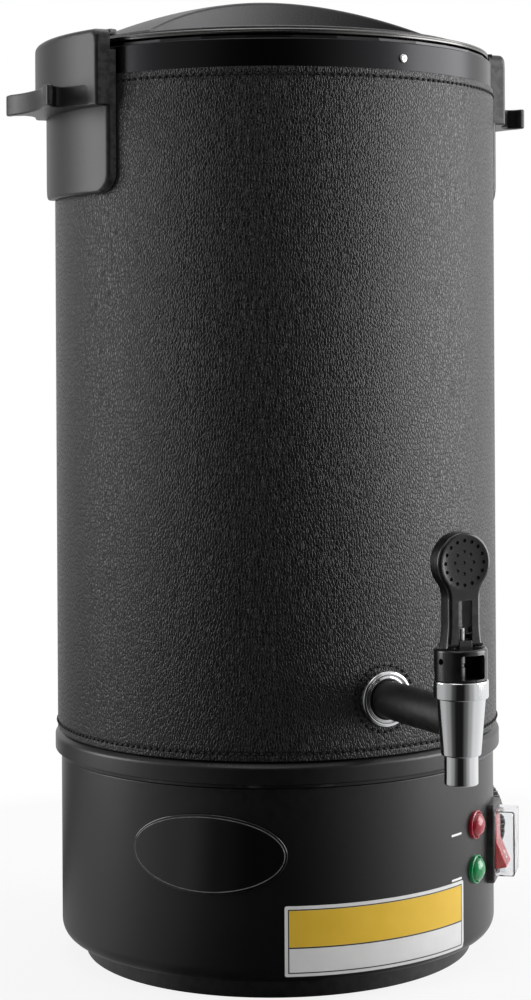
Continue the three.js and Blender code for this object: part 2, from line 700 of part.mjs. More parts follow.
function addBottomCover() {
  const wallInner = footRadius - FOOT_WALL;
  const tray = turned(
    [
      [0, 0],
      [footRadius, 0],
      [footRadius, footTop],
      [wallInner, footTop],
      [wallInner, FOOT_FLOOR],
      [0, FOOT_FLOOR],
    ],
    HIDDEN_SIDES,
  );
  const headSeat = SCREW_HEAD_SINK + SCREW_HEAD_THICKNESS + GAP;
  const bossRadius = SCREW_HEAD_RADIUS + GAP + SCREW_BOSS_WALL;
  const places = bottomScrewPlaces();
  const bosses = places.map(([x, y]) => disc(bossRadius, 0, footTop, SMALL_SIDES).translate(x, y, 0));
  const pockets = places.map(([x, y]) =>
    disc(SCREW_HEAD_RADIUS + GAP, -OVERRUN, headSeat, SMALL_SIDES).translate(x, y, 0),
  );
  const bores = places.map(([x, y]) =>
    disc(SCREW_RADIUS + GAP, -OVERRUN, footTop + OVERRUN, SMALL_SIDES).translate(x, y, 0),
  );
  add('bottom_cover', cut(join(tray, ...bosses), ...pockets, ...bores), handlePlastic);

  const headTop = SCREW_HEAD_SINK + SCREW_HEAD_THICKNESS;
  places.forEach(([x, y], i) => {
    const screw = turned(
      [
        [0, SCREW_HEAD_SINK],
        [SCREW_HEAD_RADIUS, SCREW_HEAD_SINK],
        [SCREW_HEAD_RADIUS, headTop],
        [SCREW_RADIUS, headTop],
        [SCREW_RADIUS, BASE_BOTTOM + SCREW_BITE],
        [0, BASE_BOTTOM + SCREW_BITE],
      ],
      SMALL_SIDES,
    );
    add(`bottom_screw_${i + 1}`, screw, steel).position.set(x, y, 0);
  });
}

// One side handle, centred on +X: a plate on the jacket, a thicker upper plate, a grip and a hook
function handleSolid() {
  const endBlock = (top) => {
    const width = HANDLE_HALF_WIDTH + HANDLE_HALF_WIDTH;
    const height = top - handleBottom + HANDLE_CORNER;
    return slab(roundedRectangle(width, height, HANDLE_CORNER), handleUpperRadius, 5)
      .translate(0, 0, handleBottom + height * HALF)
      .rotateZ(degrees(QUARTER_TURN))
      .translate(handleUpperRadius, 0, 0);
  };
  const crown = handleUpperRadius - HANDLE_TOP_ROUND;
  const shoulder = handleTop - HANDLE_TOP_ROUND;
  const roundShare = 0.3;
  const ring = turned(
    [
      [onWrap, handleBottom],
      [handlePlateRadius, handleBottom],
      [handlePlateRadius, earBottom],
      [handleUpperRadius, earBottom],
      [handleUpperRadius, shoulder],
      [handleUpperRadius - HANDLE_TOP_ROUND * roundShare, handleTop - HANDLE_TOP_ROUND * roundShare],
      [crown, handleTop],
      [hookInnerRadius, handleTop],
      [hookInnerRadius, notchTop],
      [onWrap, notchTop],
    ],
    BIG_SIDES,
  );
  const notch = tube(0, notchRadius, notchBottom, notchTop, BIG_SIDES);
  const notchSector = wedge(
    QUARTER_TURN - NOTCH_STOP_ANGLE,
    HALF_TURN,
    handleUpperRadius + OVERRUN,
    notchBottom - OVERRUN,
    notchTop + OVERRUN,
  );
  const plates = common(ring, endBlock(handleTop));
  const grip = join(earSolid(), earFillet());
  const socketEnd = Math.sqrt(onWrap ** 2 - HANDLE_SCREW_SPREAD ** 2) + HANDLE_SCREW_BITE + GAP;
  const sockets = handleScrewPlaces()
    .filter((place) => place.turn === 0)
    .map((place) => alongHandleScrew(HANDLE_SCREW_RADIUS + GAP, 0, socketEnd, place));
  return cut(join(plates, grip), common(notch, notchSector), ...sockets);
}

// The grip seen from above: flared at its root, waisted, with rounded corners and a bowed outer face
function earShape() {
  const root = handlePlateRadius - EAR_ROOT_FLARE * HALF;
  const waist = handleUpperRadius + EAR_ROOT_FLARE;
  const middle = earReach - EAR_HOLLOW;
  const tip = EAR_TIP_HALF_WIDTH;
  const shape = new THREE.Shape();
  shape.moveTo(root, -EAR_ROOT_HALF_WIDTH);
  shape.quadraticCurveTo(waist - EAR_ROOT_FLARE, -EAR_WAIST_HALF_WIDTH, waist, -EAR_WAIST_HALF_WIDTH);
  shape.quadraticCurveTo(earReach - EAR_CORNER, -EAR_WAIST_HALF_WIDTH, earReach - EAR_CORNER * HALF, -tip);
  shape.quadraticCurveTo(earReach, -tip, earReach, -tip + EAR_CORNER);
  shape.quadraticCurveTo(middle, -EAR_CORNER, middle, 0);
  shape.quadraticCurveTo(middle, EAR_CORNER, earReach, tip - EAR_CORNER);
  shape.quadraticCurveTo(earReach, tip, earReach - EAR_CORNER * HALF, tip);
  shape.quadraticCurveTo(earReach - EAR_CORNER, EAR_WAIST_HALF_WIDTH, waist, EAR_WAIST_HALF_WIDTH);
  shape.quadraticCurveTo(waist - EAR_ROOT_FLARE, EAR_WAIST_HALF_WIDTH, root, EAR_ROOT_HALF_WIDTH);
  shape.closePath();
  return shape;
}

// The grip's plan outline, cut to a section whose outer edges are chamfered
function earSolid() {
  const start = handlePlateRadius - EAR_ROOT_FLARE * HALF;
  const edge = earReach - EAR_EDGE;
  const section = outline([
    [start, earBottom],
    [edge, earBottom],
    [earReach, earBottom + EAR_EDGE],
    [earReach, earTop - EAR_EDGE],
    [edge, earTop],
    [start, earTop],
  ]);
  const blank = prism(earShape(), earBottom - OVERRUN, earTop + OVERRUN, 5);
  return common(blank, slab(section, EAR_TIP_HALF_WIDTH * 2 + OVERRUN, 1));
}

// The fillet under the grip, against the lower plate
function earFillet() {
  const start = handlePlateRadius - EAR_ROOT_FLARE * HALF;
  const end = handlePlateRadius + EAR_FILLET;
  const top = earBottom + EAR_EDGE;
  const shape = new THREE.Shape();
  shape.moveTo(start, earBottom - EAR_FILLET);
  shape.lineTo(handlePlateRadius, earBottom - EAR_FILLET);
  shape.quadraticCurveTo(handlePlateRadius, earBottom, end, earBottom);
  shape.lineTo(end, top);
  shape.lineTo(start, top);
  shape.closePath();
  return slab(shape, EAR_WAIST_HALF_WIDTH + EAR_WAIST_HALF_WIDTH, 4);
}

function addHandles() {
  const left = groupAt(HALF_TURN);
  const right = groupAt(0);
  add('handle_left', handleSolid(), handlePlastic, left);
  add('handle_right', handleSolid(), handlePlastic, right);
  const headEdge = HANDLE_SCREW_SPREAD + HANDLE_SCREW_HEAD_RADIUS;
  const headTop = Math.sqrt((shellInnerRadius - GAP) ** 2 - headEdge ** 2);
  const headBottom = headTop - HANDLE_SCREW_HEAD_THICKNESS;
  const tip = Math.sqrt(onWrap ** 2 - HANDLE_SCREW_SPREAD ** 2) + HANDLE_SCREW_BITE;
  handleScrewPlaces().forEach((place, i) => {
    const head = alongHandleScrew(HANDLE_SCREW_HEAD_RADIUS, headBottom, headTop, place);
    const shank = alongHandleScrew(HANDLE_SCREW_RADIUS, headBottom, tip, place);
    add(`handle_screw_${i + 1}`, join(head, shank), steel);
  });
}

// The crown's curve, a parabola through its top and its edge, lowered by a wall
function crownProfile(wall) {
  const steps = 6;
  const top = lidCrownTop - wall;
  const fall = (lidCrownTop - lidCrownEdge) / lidCoverRadius ** 2;
  const reach = lidCoverRadius - wall;
  return Array.from({ length: steps + 1 }, (_, i) => {
    const radius = (reach * i) / steps;
    return [radius, top - fall * radius ** 2];
  }).reverse();
}

// The grip seen from above: a bar along X whose two long sides curve inwards
function gripShape(inset) {
  const steps = 10;
  const centre = LID_GRIP_HALF_WIDTH + LID_GRIP_SIDE_RADIUS;
  const radius = LID_GRIP_SIDE_RADIUS + inset;
  const halfAngle = Math.asin(lidCoverRadius / LID_GRIP_SIDE_RADIUS);
  const side = Array.from({ length: steps + 1 }, (_, i) => {
    const angle = halfAngle * ((i + i) / steps - 1);
    return [radius * Math.sin(angle), centre - radius * Math.cos(angle)];
  });
  const otherSide = side.map(([x, y]) => [-x, -y]);
  return outline([...otherSide, ...side]);
}

function gripBody(wall, bottom) {
  const floor = [[0, bottom], [lidCoverRadius - wall, bottom]];
  const crown = turned([...floor, ...crownProfile(wall)], BIG_SIDES);
  return common(crown, prism(gripShape(wall), bottom, lidCrownTop, 1));
}

function lidScrewPlaces() {
  return [-lidScrewOffset, lidScrewOffset];
}

function addLid() {
  const plate = disc(lidCoverRadius, lidCoverBottom, lidFloorTop, BIG_SIDES);
  const hollow = gripBody(LID_COVER_THICKNESS, lidCoverBottom - OVERRUN);
  const bossRadius = SCREW_RADIUS + GAP + SCREW_BOSS_WALL;
  const bosses = lidScrewPlaces().map((x) =>
    disc(bossRadius, lidCoverBottom, lidCrownTop, SMALL_SIDES).translate(x, 0, 0),
  );
  const threads = lidScrewPlaces().map((x) =>
    disc(SCREW_RADIUS + GAP, lidCoverBottom - OVERRUN, lidCoverBottom + SCREW_BITE, SMALL_SIDES)
      .translate(x, 0, 0),
  );
  const shell = cut(join(plate, gripBody(0, lidCoverBottom)), hollow);
  const bossesInside = bosses.map((boss) => common(boss, gripBody(0, lidCoverBottom)));
  add('lid_cover', cut(join(shell, ...bossesInside), ...threads), lidPlastic);

  const beadInner = lidEdgeRadius - LID_BEAD_WIDTH;
  const beadBottom = lidDiscTop - LID_BEAD_THICKNESS;
  const beadRound = LID_BEAD_THICKNESS * HALF * HALF;
  const discBody = turned(
    [
      [0, lidDiscBottom],
      [beadInner, lidDiscBottom],
      [beadInner, beadBottom],
      [lidEdgeRadius - beadRound, beadBottom],
      [lidEdgeRadius, beadBottom + beadRound],
      [lidEdgeRadius, lidDiscTop - beadRound],
      [lidEdgeRadius - beadRound, lidDiscTop],
      [0, lidDiscTop],
    ],
    BIG_SIDES,
  );
  const lugRing = tube(beadInner, lidLugRadius, beadBottom + GAP, lidDiscTop - GAP, BIG_SIDES);
  const lugBar = new THREE.BoxGeometry(
    lidLugRadius + lidLugRadius + OVERRUN,
    LID_LUG_HALF_WIDTH + LID_LUG_HALF_WIDTH,
    LID_BEAD_THICKNESS + OVERRUN,
  ).translate(0, 0, lidDiscTop);
  const screwBores = lidScrewPlaces().map((x) =>
    disc(SCREW_RADIUS + GAP, lidDiscBottom - OVERRUN, lidDiscTop + OVERRUN, SMALL_SIDES)
      .translate(x, 0, 0),
  );
  add('lid_disc', cut(join(discBody, common(lugRing, lugBar)), ...screwBores), steel);

  const sealInner = lidSealRadius - LID_SEAL_WIDTH;
  const seal = tube(sealInner, lidSealRadius, potFlangeTop + GAP, lidDiscBottom - GAP, HIDDEN_SIDES);
  add('lid_seal', seal, silicone);

  const headTop = lidDiscBottom - GAP;
  lidScrewPlaces().forEach((x, i) => {
    const screw = turned(
      [
        [0, headTop - SCREW_HEAD_THICKNESS],
        [SCREW_HEAD_RADIUS, headTop - SCREW_HEAD_THICKNESS],
        [SCREW_HEAD_RADIUS, headTop],
        [SCREW_RADIUS, headTop],
        [SCREW_RADIUS, lidCoverBottom + SCREW_BITE - GAP],
        [0, lidCoverBottom + SCREW_BITE - GAP],
      ],
      SMALL_SIDES,
    );
    add(`lid_screw_${i + 1}`, screw, steel).position.x = x;
  });
}

// The outside of the tap's body, grown by an offset
function tapOutside(offset) {
  return [
    [SPOUT_RADIUS + offset, spoutBottom - offset],
    [SPOUT_RADIUS + offset, coneBottom],
    [CONE_BOTTOM_RADIUS + offset, coneBottom],
    [CONE_TOP_RADIUS + offset, cupBottomHeight],
    [CUP_RADIUS + offset, cupBottomHeight],
    [CUP_RADIUS + offset, cupTop + offset],
  ];
}

function addTapShank() {
  const line = groupAt(0, tapHeight);
  const round = (points, sides = MID_SIDES) => outward(turned(points, sides));
  const shankEnd = tapReach - CHAMBER_RADIUS - GAP;
  const ringBlank = round([
    [ESCUTCHEON_HOLE_RADIUS, potInnerRadius],
    [ESCUTCHEON_RADIUS, potInnerRadius],
    [ESCUTCHEON_RADIUS, WRAP_RADIUS + ESCUTCHEON_HEIGHT - ESCUTCHEON_ROUND],
    [ESCUTCHEON_RADIUS - ESCUTCHEON_ROUND, WRAP_RADIUS + ESCUTCHEON_HEIGHT],
    [ESCUTCHEON_HOLE_RADIUS + ESCUTCHEON_ROUND, WRAP_RADIUS + ESCUTCHEON_HEIGHT],
    [ESCUTCHEON_HOLE_RADIUS, WRAP_RADIUS + ESCUTCHEON_HEIGHT - ESCUTCHEON_ROUND],
  ]);
  const around = (radius, sides = BIG_SIDES) => disc(radius, -tapHeight, tapHeight, sides);
  add('tap_escutcheon', cut(ringBlank, around(onWrap)), chrome, line);

  const gasketFront = WRAP_RADIUS + TAP_GASKET_PROUD;
  const gasket = outward(
    tube(shankHoleRadius, ESCUTCHEON_HOLE_RADIUS - GAP, potInnerRadius, gasketFront, MID_SIDES),
  );
  add('tap_outer_gasket', cut(gasket, around(shellRadius + GAP)), silicone, line);

  const innerFront = potInnerRadius - GAP;
  const innerBack = innerFront - TAP_INNER_GASKET_THICKNESS;
  const innerBlank = outward(
    tube(shankHoleRadius, TAP_INNER_GASKET_RADIUS, innerBack, potInnerRadius + OVERRUN, MID_SIDES),
  );
  add('tap_inner_gasket', common(innerBlank, around(innerFront, HIDDEN_SIDES)), silicone, line);

  const nutFront = innerBack - GAP;
  const nut = outward(tube(shankHoleRadius, TAP_NUT_RADIUS, nutFront - TAP_NUT_THICKNESS, nutFront, NUT_SIDES));
  const nutBore = outward(disc(shankHoleRadius, 0, nutFront + OVERRUN, MID_SIDES));
  add('tap_nut', cut(nut, nutBore), brass, line);

  const shank = outward(tube(SHANK_BORE_RADIUS, SHANK_RADIUS, shankInnerEnd, shankEnd, MID_SIDES));
  add('tap_shank', shank, brass, line);

  const sleeveBlank = outward(
    tube(shankHoleRadius, TAP_SLEEVE_RADIUS, gasketFront + GAP, tapReach, MID_SIDES),
  );
  const bodyRoom = turned([[0, spoutBottom], ...tapOutside(GAP), [0, cupTop]], MID_SIDES)
    .translate(0, -tapReach, -tapHeight);
  add('tap_sleeve', cut(sleeveBlank, bodyRoom), tapPlastic, line);
}

function addTapBody() {
  const upright = new THREE.Group();
  upright.position.y = -tapReach;
  pot.add(upright);
  const seatTop = seatHeight;
  const seatBottom = seatHeight - SEAT_THICKNESS;
  const cupFloor = cupTop - CUP_BORE_DEPTH;
  const body = turned(
    [
      [SPOUT_BORE_RADIUS, spoutBottom],
      ...tapOutside(0),
      [CUP_BORE_RADIUS, cupTop],
      [CUP_BORE_RADIUS, cupFloor],
      [CHAMBER_RADIUS, cupFloor],
      [CHAMBER_RADIUS, seatTop],
      [SEAT_HOLE_RADIUS, seatTop],
      [SEAT_HOLE_RADIUS, seatBottom],
      [SPOUT_BORE_RADIUS, seatBottom],
    ],
    MID_SIDES,
  );
  const inlet = disc(shankHoleRadius, 0, CUP_RADIUS + OVERRUN, MID_SIDES)
    .rotateX(degrees(-QUARTER_TURN))
    .translate(0, 0, tapHeight);
  add('tap_body', cut(body, inlet), chrome, upright);

  const spigotBottom = cupFloor + GAP;
  const bonnetBottom = cupTop + GAP;
  const spigot = CUP_BORE_RADIUS - GAP;
  const stemBore = STEM_RADIUS + STEM_CLEARANCE;
  const bonnet = turned(
    [
      [stemBore, spigotBottom],
      [spigot, spigotBottom],
      [spigot, bonnetBottom],
      [BONNET_RADIUS, bonnetBottom],
      [BONNET_RADIUS, bonnetTop - BONNET_EDGE],
      [BONNET_RADIUS - BONNET_EDGE, bonnetTop],
      [stemBore, bonnetTop],
    ],
    MID_SIDES,
  );
  const slotBottom = bonnetTop - BONNET_SLOT_HEIGHT;
  const slot = block(LEVER_SLOT_WIDTH, BONNET_RADIUS + OVERRUN, slotBottom, bonnetTop + OVERRUN)
    .translate(0, -(BONNET_RADIUS + OVERRUN) * HALF, 0);
  add('tap_bonnet', cut(bonnet, slot), tapPlastic, upright);

  const tipBottom = stemShoulder - STEM_TIP_LENGTH;
  const stem = turned(
    [
      [0, tipBottom],
      [STEM_TIP_RADIUS, tipBottom],
      [STEM_TIP_RADIUS, stemShoulder],
      [STEM_RADIUS, stemShoulder],
      [STEM_RADIUS, stemTop - STEM_RADIUS * HALF],
      [STEM_RADIUS * HALF, stemTop],
      [0, stemTop],
    ],
    MID_SIDES,
  );
  const eye = leverCrossBore(STEM_RADIUS + OVERRUN);
  add('tap_stem', cut(stem, eye), steel, upright);

  const cupBottom = seatHeight + GAP;
  const seatCup = turned(
    [
      [0, cupBottom - SEAT_CUP_NOSE_HEIGHT],
      [SEAT_CUP_NOSE_RADIUS, cupBottom],
      [SEAT_CUP_RADIUS, cupBottom],
      [SEAT_CUP_RADIUS, stemShoulder - GAP - SEAT_CUP_NOSE_RADIUS],
      [STEM_RADIUS, stemShoulder - GAP],
      [STEM_TIP_RADIUS + GAP, stemShoulder - GAP],
      [STEM_TIP_RADIUS + GAP, tipBottom - GAP],
      [0, tipBottom - GAP],
    ],
    MID_SIDES,
  );
  add('tap_seat_cup', seatCup, silicone, upright);
  addLever(upright);
}

// The bore for the lever's pin, along X
function leverCrossBore(reach) {
  return disc(LEVER_PIN_RADIUS + GAP, -reach, reach, SMALL_SIDES)
    .rotateY(degrees(QUARTER_TURN))
    .translate(0, 0, leverPinHeight);
}

function addLever(upright) {
  const bottom = bonnetTop + GAP;
  const footTop = bottom + LEVER_FOOT_HEIGHT;
  const discBottom = leverDiscHeight - LEVER_DISC_RADIUS;
  const discTop = leverDiscHeight + LEVER_DISC_RADIUS;
  const front = outline([
    [-LEVER_FOOT_HALF_WIDTH, bottom],
    [LEVER_FOOT_HALF_WIDTH, bottom],
    [LEVER_NECK_HALF_WIDTH, footTop],
    [LEVER_NECK_HALF_WIDTH, leverDiscHeight],
    [-LEVER_NECK_HALF_WIDTH, leverDiscHeight],
    [-LEVER_NECK_HALF_WIDTH, footTop],
  ]);
  const depth = LEVER_FOOT_HALF_DEPTH + LEVER_FOOT_HALF_DEPTH;
  const pad = disc(LEVER_DISC_RADIUS, -LEVER_FOOT_HALF_DEPTH, LEVER_FOOT_HALF_DEPTH, MID_SIDES)
    .rotateX(degrees(QUARTER_TURN))
    .translate(0, 0, leverDiscHeight);
  const side = outline([
    [-LEVER_FOOT_HALF_DEPTH, bottom],
    [LEVER_FOOT_HALF_DEPTH, bottom],
    [LEVER_FOOT_HALF_DEPTH, footTop],
    [LEVER_NECK_HALF_DEPTH, discBottom],
    [LEVER_NECK_HALF_DEPTH, discTop],
    [-LEVER_NECK_HALF_DEPTH, discTop],
    [-LEVER_NECK_HALF_DEPTH, discBottom],
    [-LEVER_FOOT_HALF_DEPTH, footTop],
  ]);
  const sideSolid = slab(side, LEVER_DISC_RADIUS * 2 + OVERRUN, 1).rotateZ(degrees(QUARTER_TURN));
  const blank = common(join(slab(front, depth, 1), pad), sideSolid);
  const slot = block(LEVER_SLOT_WIDTH, depth + OVERRUN, bottom - OVERRUN, leverSlotTop);
  const dishDepth = LEVER_NECK_HALF_DEPTH - LEVER_DISH_DEPTH;
  const dish = disc(LEVER_DISH_RADIUS, dishDepth, depth, MID_SIDES)
    .rotateX(degrees(QUARTER_TURN))
    .translate(0, 0, leverDiscHeight);
  const bore = leverCrossBore(LEVER_FOOT_HALF_WIDTH + OVERRUN);
  add('tap_lever', cut(blank, slot, dish, bore), tapPlastic, upright);

  const pinReach = LEVER_NECK_HALF_WIDTH;
  const pin = disc(LEVER_PIN_RADIUS, -pinReach, pinReach, SMALL_SIDES)
    .rotateY(degrees(QUARTER_TURN))
    .translate(0, 0, leverPinHeight);
  add('lever_pin', pin, steel, upright);
}

// The round of the base, grown by an offset, in a frame whose middle is at one control's height
function baseRound(radius) {
  return disc(radius, -baseRadius, baseRadius, BIG_SIDES);
}

function addLamp(name, height, lensMaterial) {
  const place = groupAt(LAMP_ANGLE, height);
  const stemEnd = baseInnerRadius - LAMP_STEM_LENGTH;
  const rim = onBase + LAMP_RIM;
  const domeSteps = 4;
  const dome = Array.from({ length: domeSteps + 1 }, (_, i) => {
    const angle = degrees((QUARTER_TURN * i) / domeSteps);
    const radius = (LAMP_RADIUS - LAMP_RIM) * Math.cos(angle);
    return [radius, rim + LAMP_DOME_HEIGHT * Math.sin(angle)];
  }).slice(0, domeSteps);
  const cap = turned(
    [
      [0, baseInnerRadius],
      [LAMP_RADIUS, baseInnerRadius],
      [LAMP_RADIUS, rim],
      ...dome,
      [0, rim + LAMP_DOME_HEIGHT],
    ],
    SMALL_SIDES + SMALL_SIDES,
  );
  const stem = outward(disc(LAMP_STEM_RADIUS, stemEnd, onBase + LAMP_RIM * HALF, SMALL_SIDES));
  add(`${name}_lens`, join(cut(outward(cap), baseRound(onBase)), stem), lensMaterial, place);

  const bodyFront = baseInnerRadius - GAP - LAMP_RIM;
  const bodyBack = bodyFront - LAMP_BODY_LENGTH;
  const body = outward(disc(LAMP_BODY_RADIUS, bodyBack, bodyFront, SMALL_SIDES));
  const socket = outward(disc(LAMP_STEM_RADIUS + GAP, stemEnd - GAP, bodyFront + OVERRUN, SMALL_SIDES));
  add(`${name}_body`, cut(body, socket), basePlastic, place);
}

// Local frame of the switch: X across, -Y out of the base, Z up, at the switch's middle
function addSwitch() {
  const place = groupAt(SWITCH_ANGLE, switchHeight);
  const outBox = (width, height, from, to) =>
    new THREE.BoxGeometry(width, to - from, height).translate(0, -(from + to) * HALF, 0);
  const outSlab = (shape, from, to) => slab(shape, to - from, 4).translate(0, -(from + to) * HALF, 0);
  const flangeShape = roundedRectangle(SWITCH_FLANGE_WIDTH, SWITCH_FLANGE_HEIGHT, DUST_COVER_ROUND);
  const bodyBack = baseRadius - SWITCH_BODY_DEPTH;
  const flange = cut(outSlab(flangeShape, baseInnerRadius, switchFace), baseRound(onBase));
  const body = outBox(SWITCH_BODY_WIDTH, SWITCH_BODY_HEIGHT, bodyBack, switchFace - GAP);
  const cavityWidth = ROCKER_WIDTH + ROCKER_SIDE_CLEARANCE * 2;
  const cavityHeight = (ROCKER_HALF_HEIGHT + ROCKER_END_CLEARANCE) * 2;
  const cavity = outBox(
    cavityWidth,
    cavityHeight,
    rockerPivot - SWITCH_CAVITY_DEPTH,
    switchFace + OVERRUN,
  );
  const trunnionHole = disc(TRUNNION_RADIUS + GAP, -SWITCH_BODY_WIDTH, SWITCH_BODY_WIDTH, SMALL_SIDES)
    .rotateY(degrees(QUARTER_TURN))
    .translate(0, -rockerPivot, 0);
  const trunnionRoom = outBox(
    cavityWidth + (TRUNNION_LENGTH + GAP) * 2,
    TRUNNION_RADIUS * 4,
    rockerPivot - TRUNNION_RADIUS * 2,
    rockerPivot + TRUNNION_RADIUS * 2,
  );
  const trunnionPockets = common(trunnionHole, trunnionRoom);
  const terminals = [-1, 0, 1].map((step) =>
    outBox(
      SWITCH_TERMINAL_WIDTH,
      SWITCH_TERMINAL_THICKNESS,
      bodyBack - SWITCH_TERMINAL_LENGTH,
      bodyBack + GAP,
    ).translate(0, 0, step * SWITCH_TERMINAL_SPACING),
  );
  const housing = cut(join(flange, body, ...terminals), cavity, trunnionPockets);
  add('switch_housing', housing, basePlastic, place);

  // The rocking body is drawn level, then turned so that its upper half is pressed in
  const rockerShape = outline([
    [ROCKER_HALF_HEIGHT, ROCKER_END_HEIGHT],
    [0, ROCKER_VALLEY_HEIGHT],
    [-ROCKER_HALF_HEIGHT, ROCKER_END_HEIGHT],
    [-ROCKER_HALF_HEIGHT, ROCKER_SHOULDER_HEIGHT],
    [-ROCKER_BACK_HALF_HEIGHT, -ROCKER_BACK_HEIGHT],
    [ROCKER_BACK_HALF_HEIGHT, -ROCKER_BACK_HEIGHT],
    [ROCKER_HALF_HEIGHT, ROCKER_SHOULDER_HEIGHT],
  ]);
  const rockerBlock = new THREE.ExtrudeGeometry(rockerShape, { depth: ROCKER_WIDTH, bevelEnabled: false })
    .translate(0, 0, -ROCKER_WIDTH * HALF)
    .rotateY(degrees(-QUARTER_TURN))
    .rotateZ(degrees(HALF_TURN))
    .rotateX(degrees(-ROCKER_TILT));
  const trunnionReach = ROCKER_WIDTH * HALF + TRUNNION_LENGTH;
  const trunnion = disc(TRUNNION_RADIUS, -trunnionReach, trunnionReach, SMALL_SIDES)
    .rotateY(degrees(QUARTER_TURN));
  const rocker = add('rocker_button', join(rockerBlock, trunnion), redPlastic, place);
  rocker.position.y = -rockerPivot;

  const coverShape = roundedRectangle(DUST_COVER_WIDTH, DUST_COVER_HEIGHT, DUST_COVER_ROUND);
  const innerShape = roundedRectangle(
    DUST_COVER_WIDTH - DUST_COVER_WALL * 2,
    DUST_COVER_HEIGHT - DUST_COVER_WALL * 2,
    DUST_COVER_ROUND,
  );
  const coverBack = switchFace + GAP;
  const coverFront = coverBack + DUST_COVER_PROUD;
  const cover = cut(
    outSlab(coverShape, coverBack, coverFront),
    outSlab(innerShape, coverBack - OVERRUN, coverFront - DUST_COVER_WALL),
  );
  add('switch_dust_cover', cover, clearCover, place);
}

function addThermostat() {
  const place = groupAt(KNOB_ANGLE, knobHeight);
  const ringBack = baseInnerRadius - OVERRUN;
  const ringFront = baseRadius + DIAL_RING_PROUD;
  const ringBlank = outward(
    tube(THERMOSTAT_NECK_RADIUS + GAP, DIAL_RING_RADIUS, ringBack, ringFront, MID_SIDES),
  );
  add('dial_ring', cut(ringBlank, baseRound(onBase)), basePlastic, place);

  const sag = baseInnerRadius - Math.sqrt(baseInnerRadius ** 2 - THERMOSTAT_RADIUS ** 2);
  const bodyFront = baseInnerRadius - sag - THERMOSTAT_WALL_CLEARANCE;
  const bodyBack = bodyFront - THERMOSTAT_LENGTH;
  const neckFront = baseRadius + GAP;
  const shaftBore = THERMOSTAT_SHAFT_RADIUS + GAP;
  const body = turned(
    [
      [0, bodyBack],
      [THERMOSTAT_RADIUS, bodyBack],
      [THERMOSTAT_RADIUS, bodyFront],
      [THERMOSTAT_NECK_RADIUS, bodyFront],
      [THERMOSTAT_NECK_RADIUS, neckFront],
      [shaftBore, neckFront],
      [shaftBore, bodyFront - THERMOSTAT_LENGTH * HALF],
      [0, bodyFront - THERMOSTAT_LENGTH * HALF],
    ],
    MID_SIDES,
  );
  add('thermostat_body', outward(body), aluminium, place);

  const shaftBack = bodyFront - THERMOSTAT_LENGTH * HALF + GAP;
  const shaftFront = knobBack + KNOB_SHAFT_DEPTH;
  const shaft = outward(disc(THERMOSTAT_SHAFT_RADIUS, shaftBack, shaftFront, SMALL_SIDES));
  add('thermostat_shaft', shaft, steel, place);

  const knobFront = knobBack + KNOB_DEPTH;
  const ribPoints = Array.from({ length: KNOB_RIB_COUNT * 2 }, (_, i) => {
    const radius = i % 2 === 0 ? KNOB_RADIUS : KNOB_RADIUS - KNOB_RIB_DEPTH;
    const angle = degrees((HALF_TURN * i) / KNOB_RIB_COUNT);
    return [radius * Math.cos(angle), radius * Math.sin(angle)];
  });
  const ribbed = prism(outline(ribPoints), knobBack, knobFront - KNOB_EDGE, 1);
  const cap = turned(
    [
      [0, knobBack + KNOB_EDGE],
      [KNOB_RADIUS - KNOB_RIB_DEPTH, knobBack + KNOB_EDGE],
      [KNOB_RADIUS - KNOB_RIB_DEPTH, knobFront - KNOB_EDGE],
      [KNOB_RADIUS - KNOB_RIB_DEPTH - KNOB_EDGE, knobFront],
      [0, knobFront],
    ],
    MID_SIDES,
  );
  const shaftSocket = disc(THERMOSTAT_SHAFT_RADIUS + GAP, 0, shaftFront + GAP, SMALL_SIDES);
  add('thermostat_knob', outward(cut(join(ribbed, cap), shaftSocket)), tapPlastic, place);
}

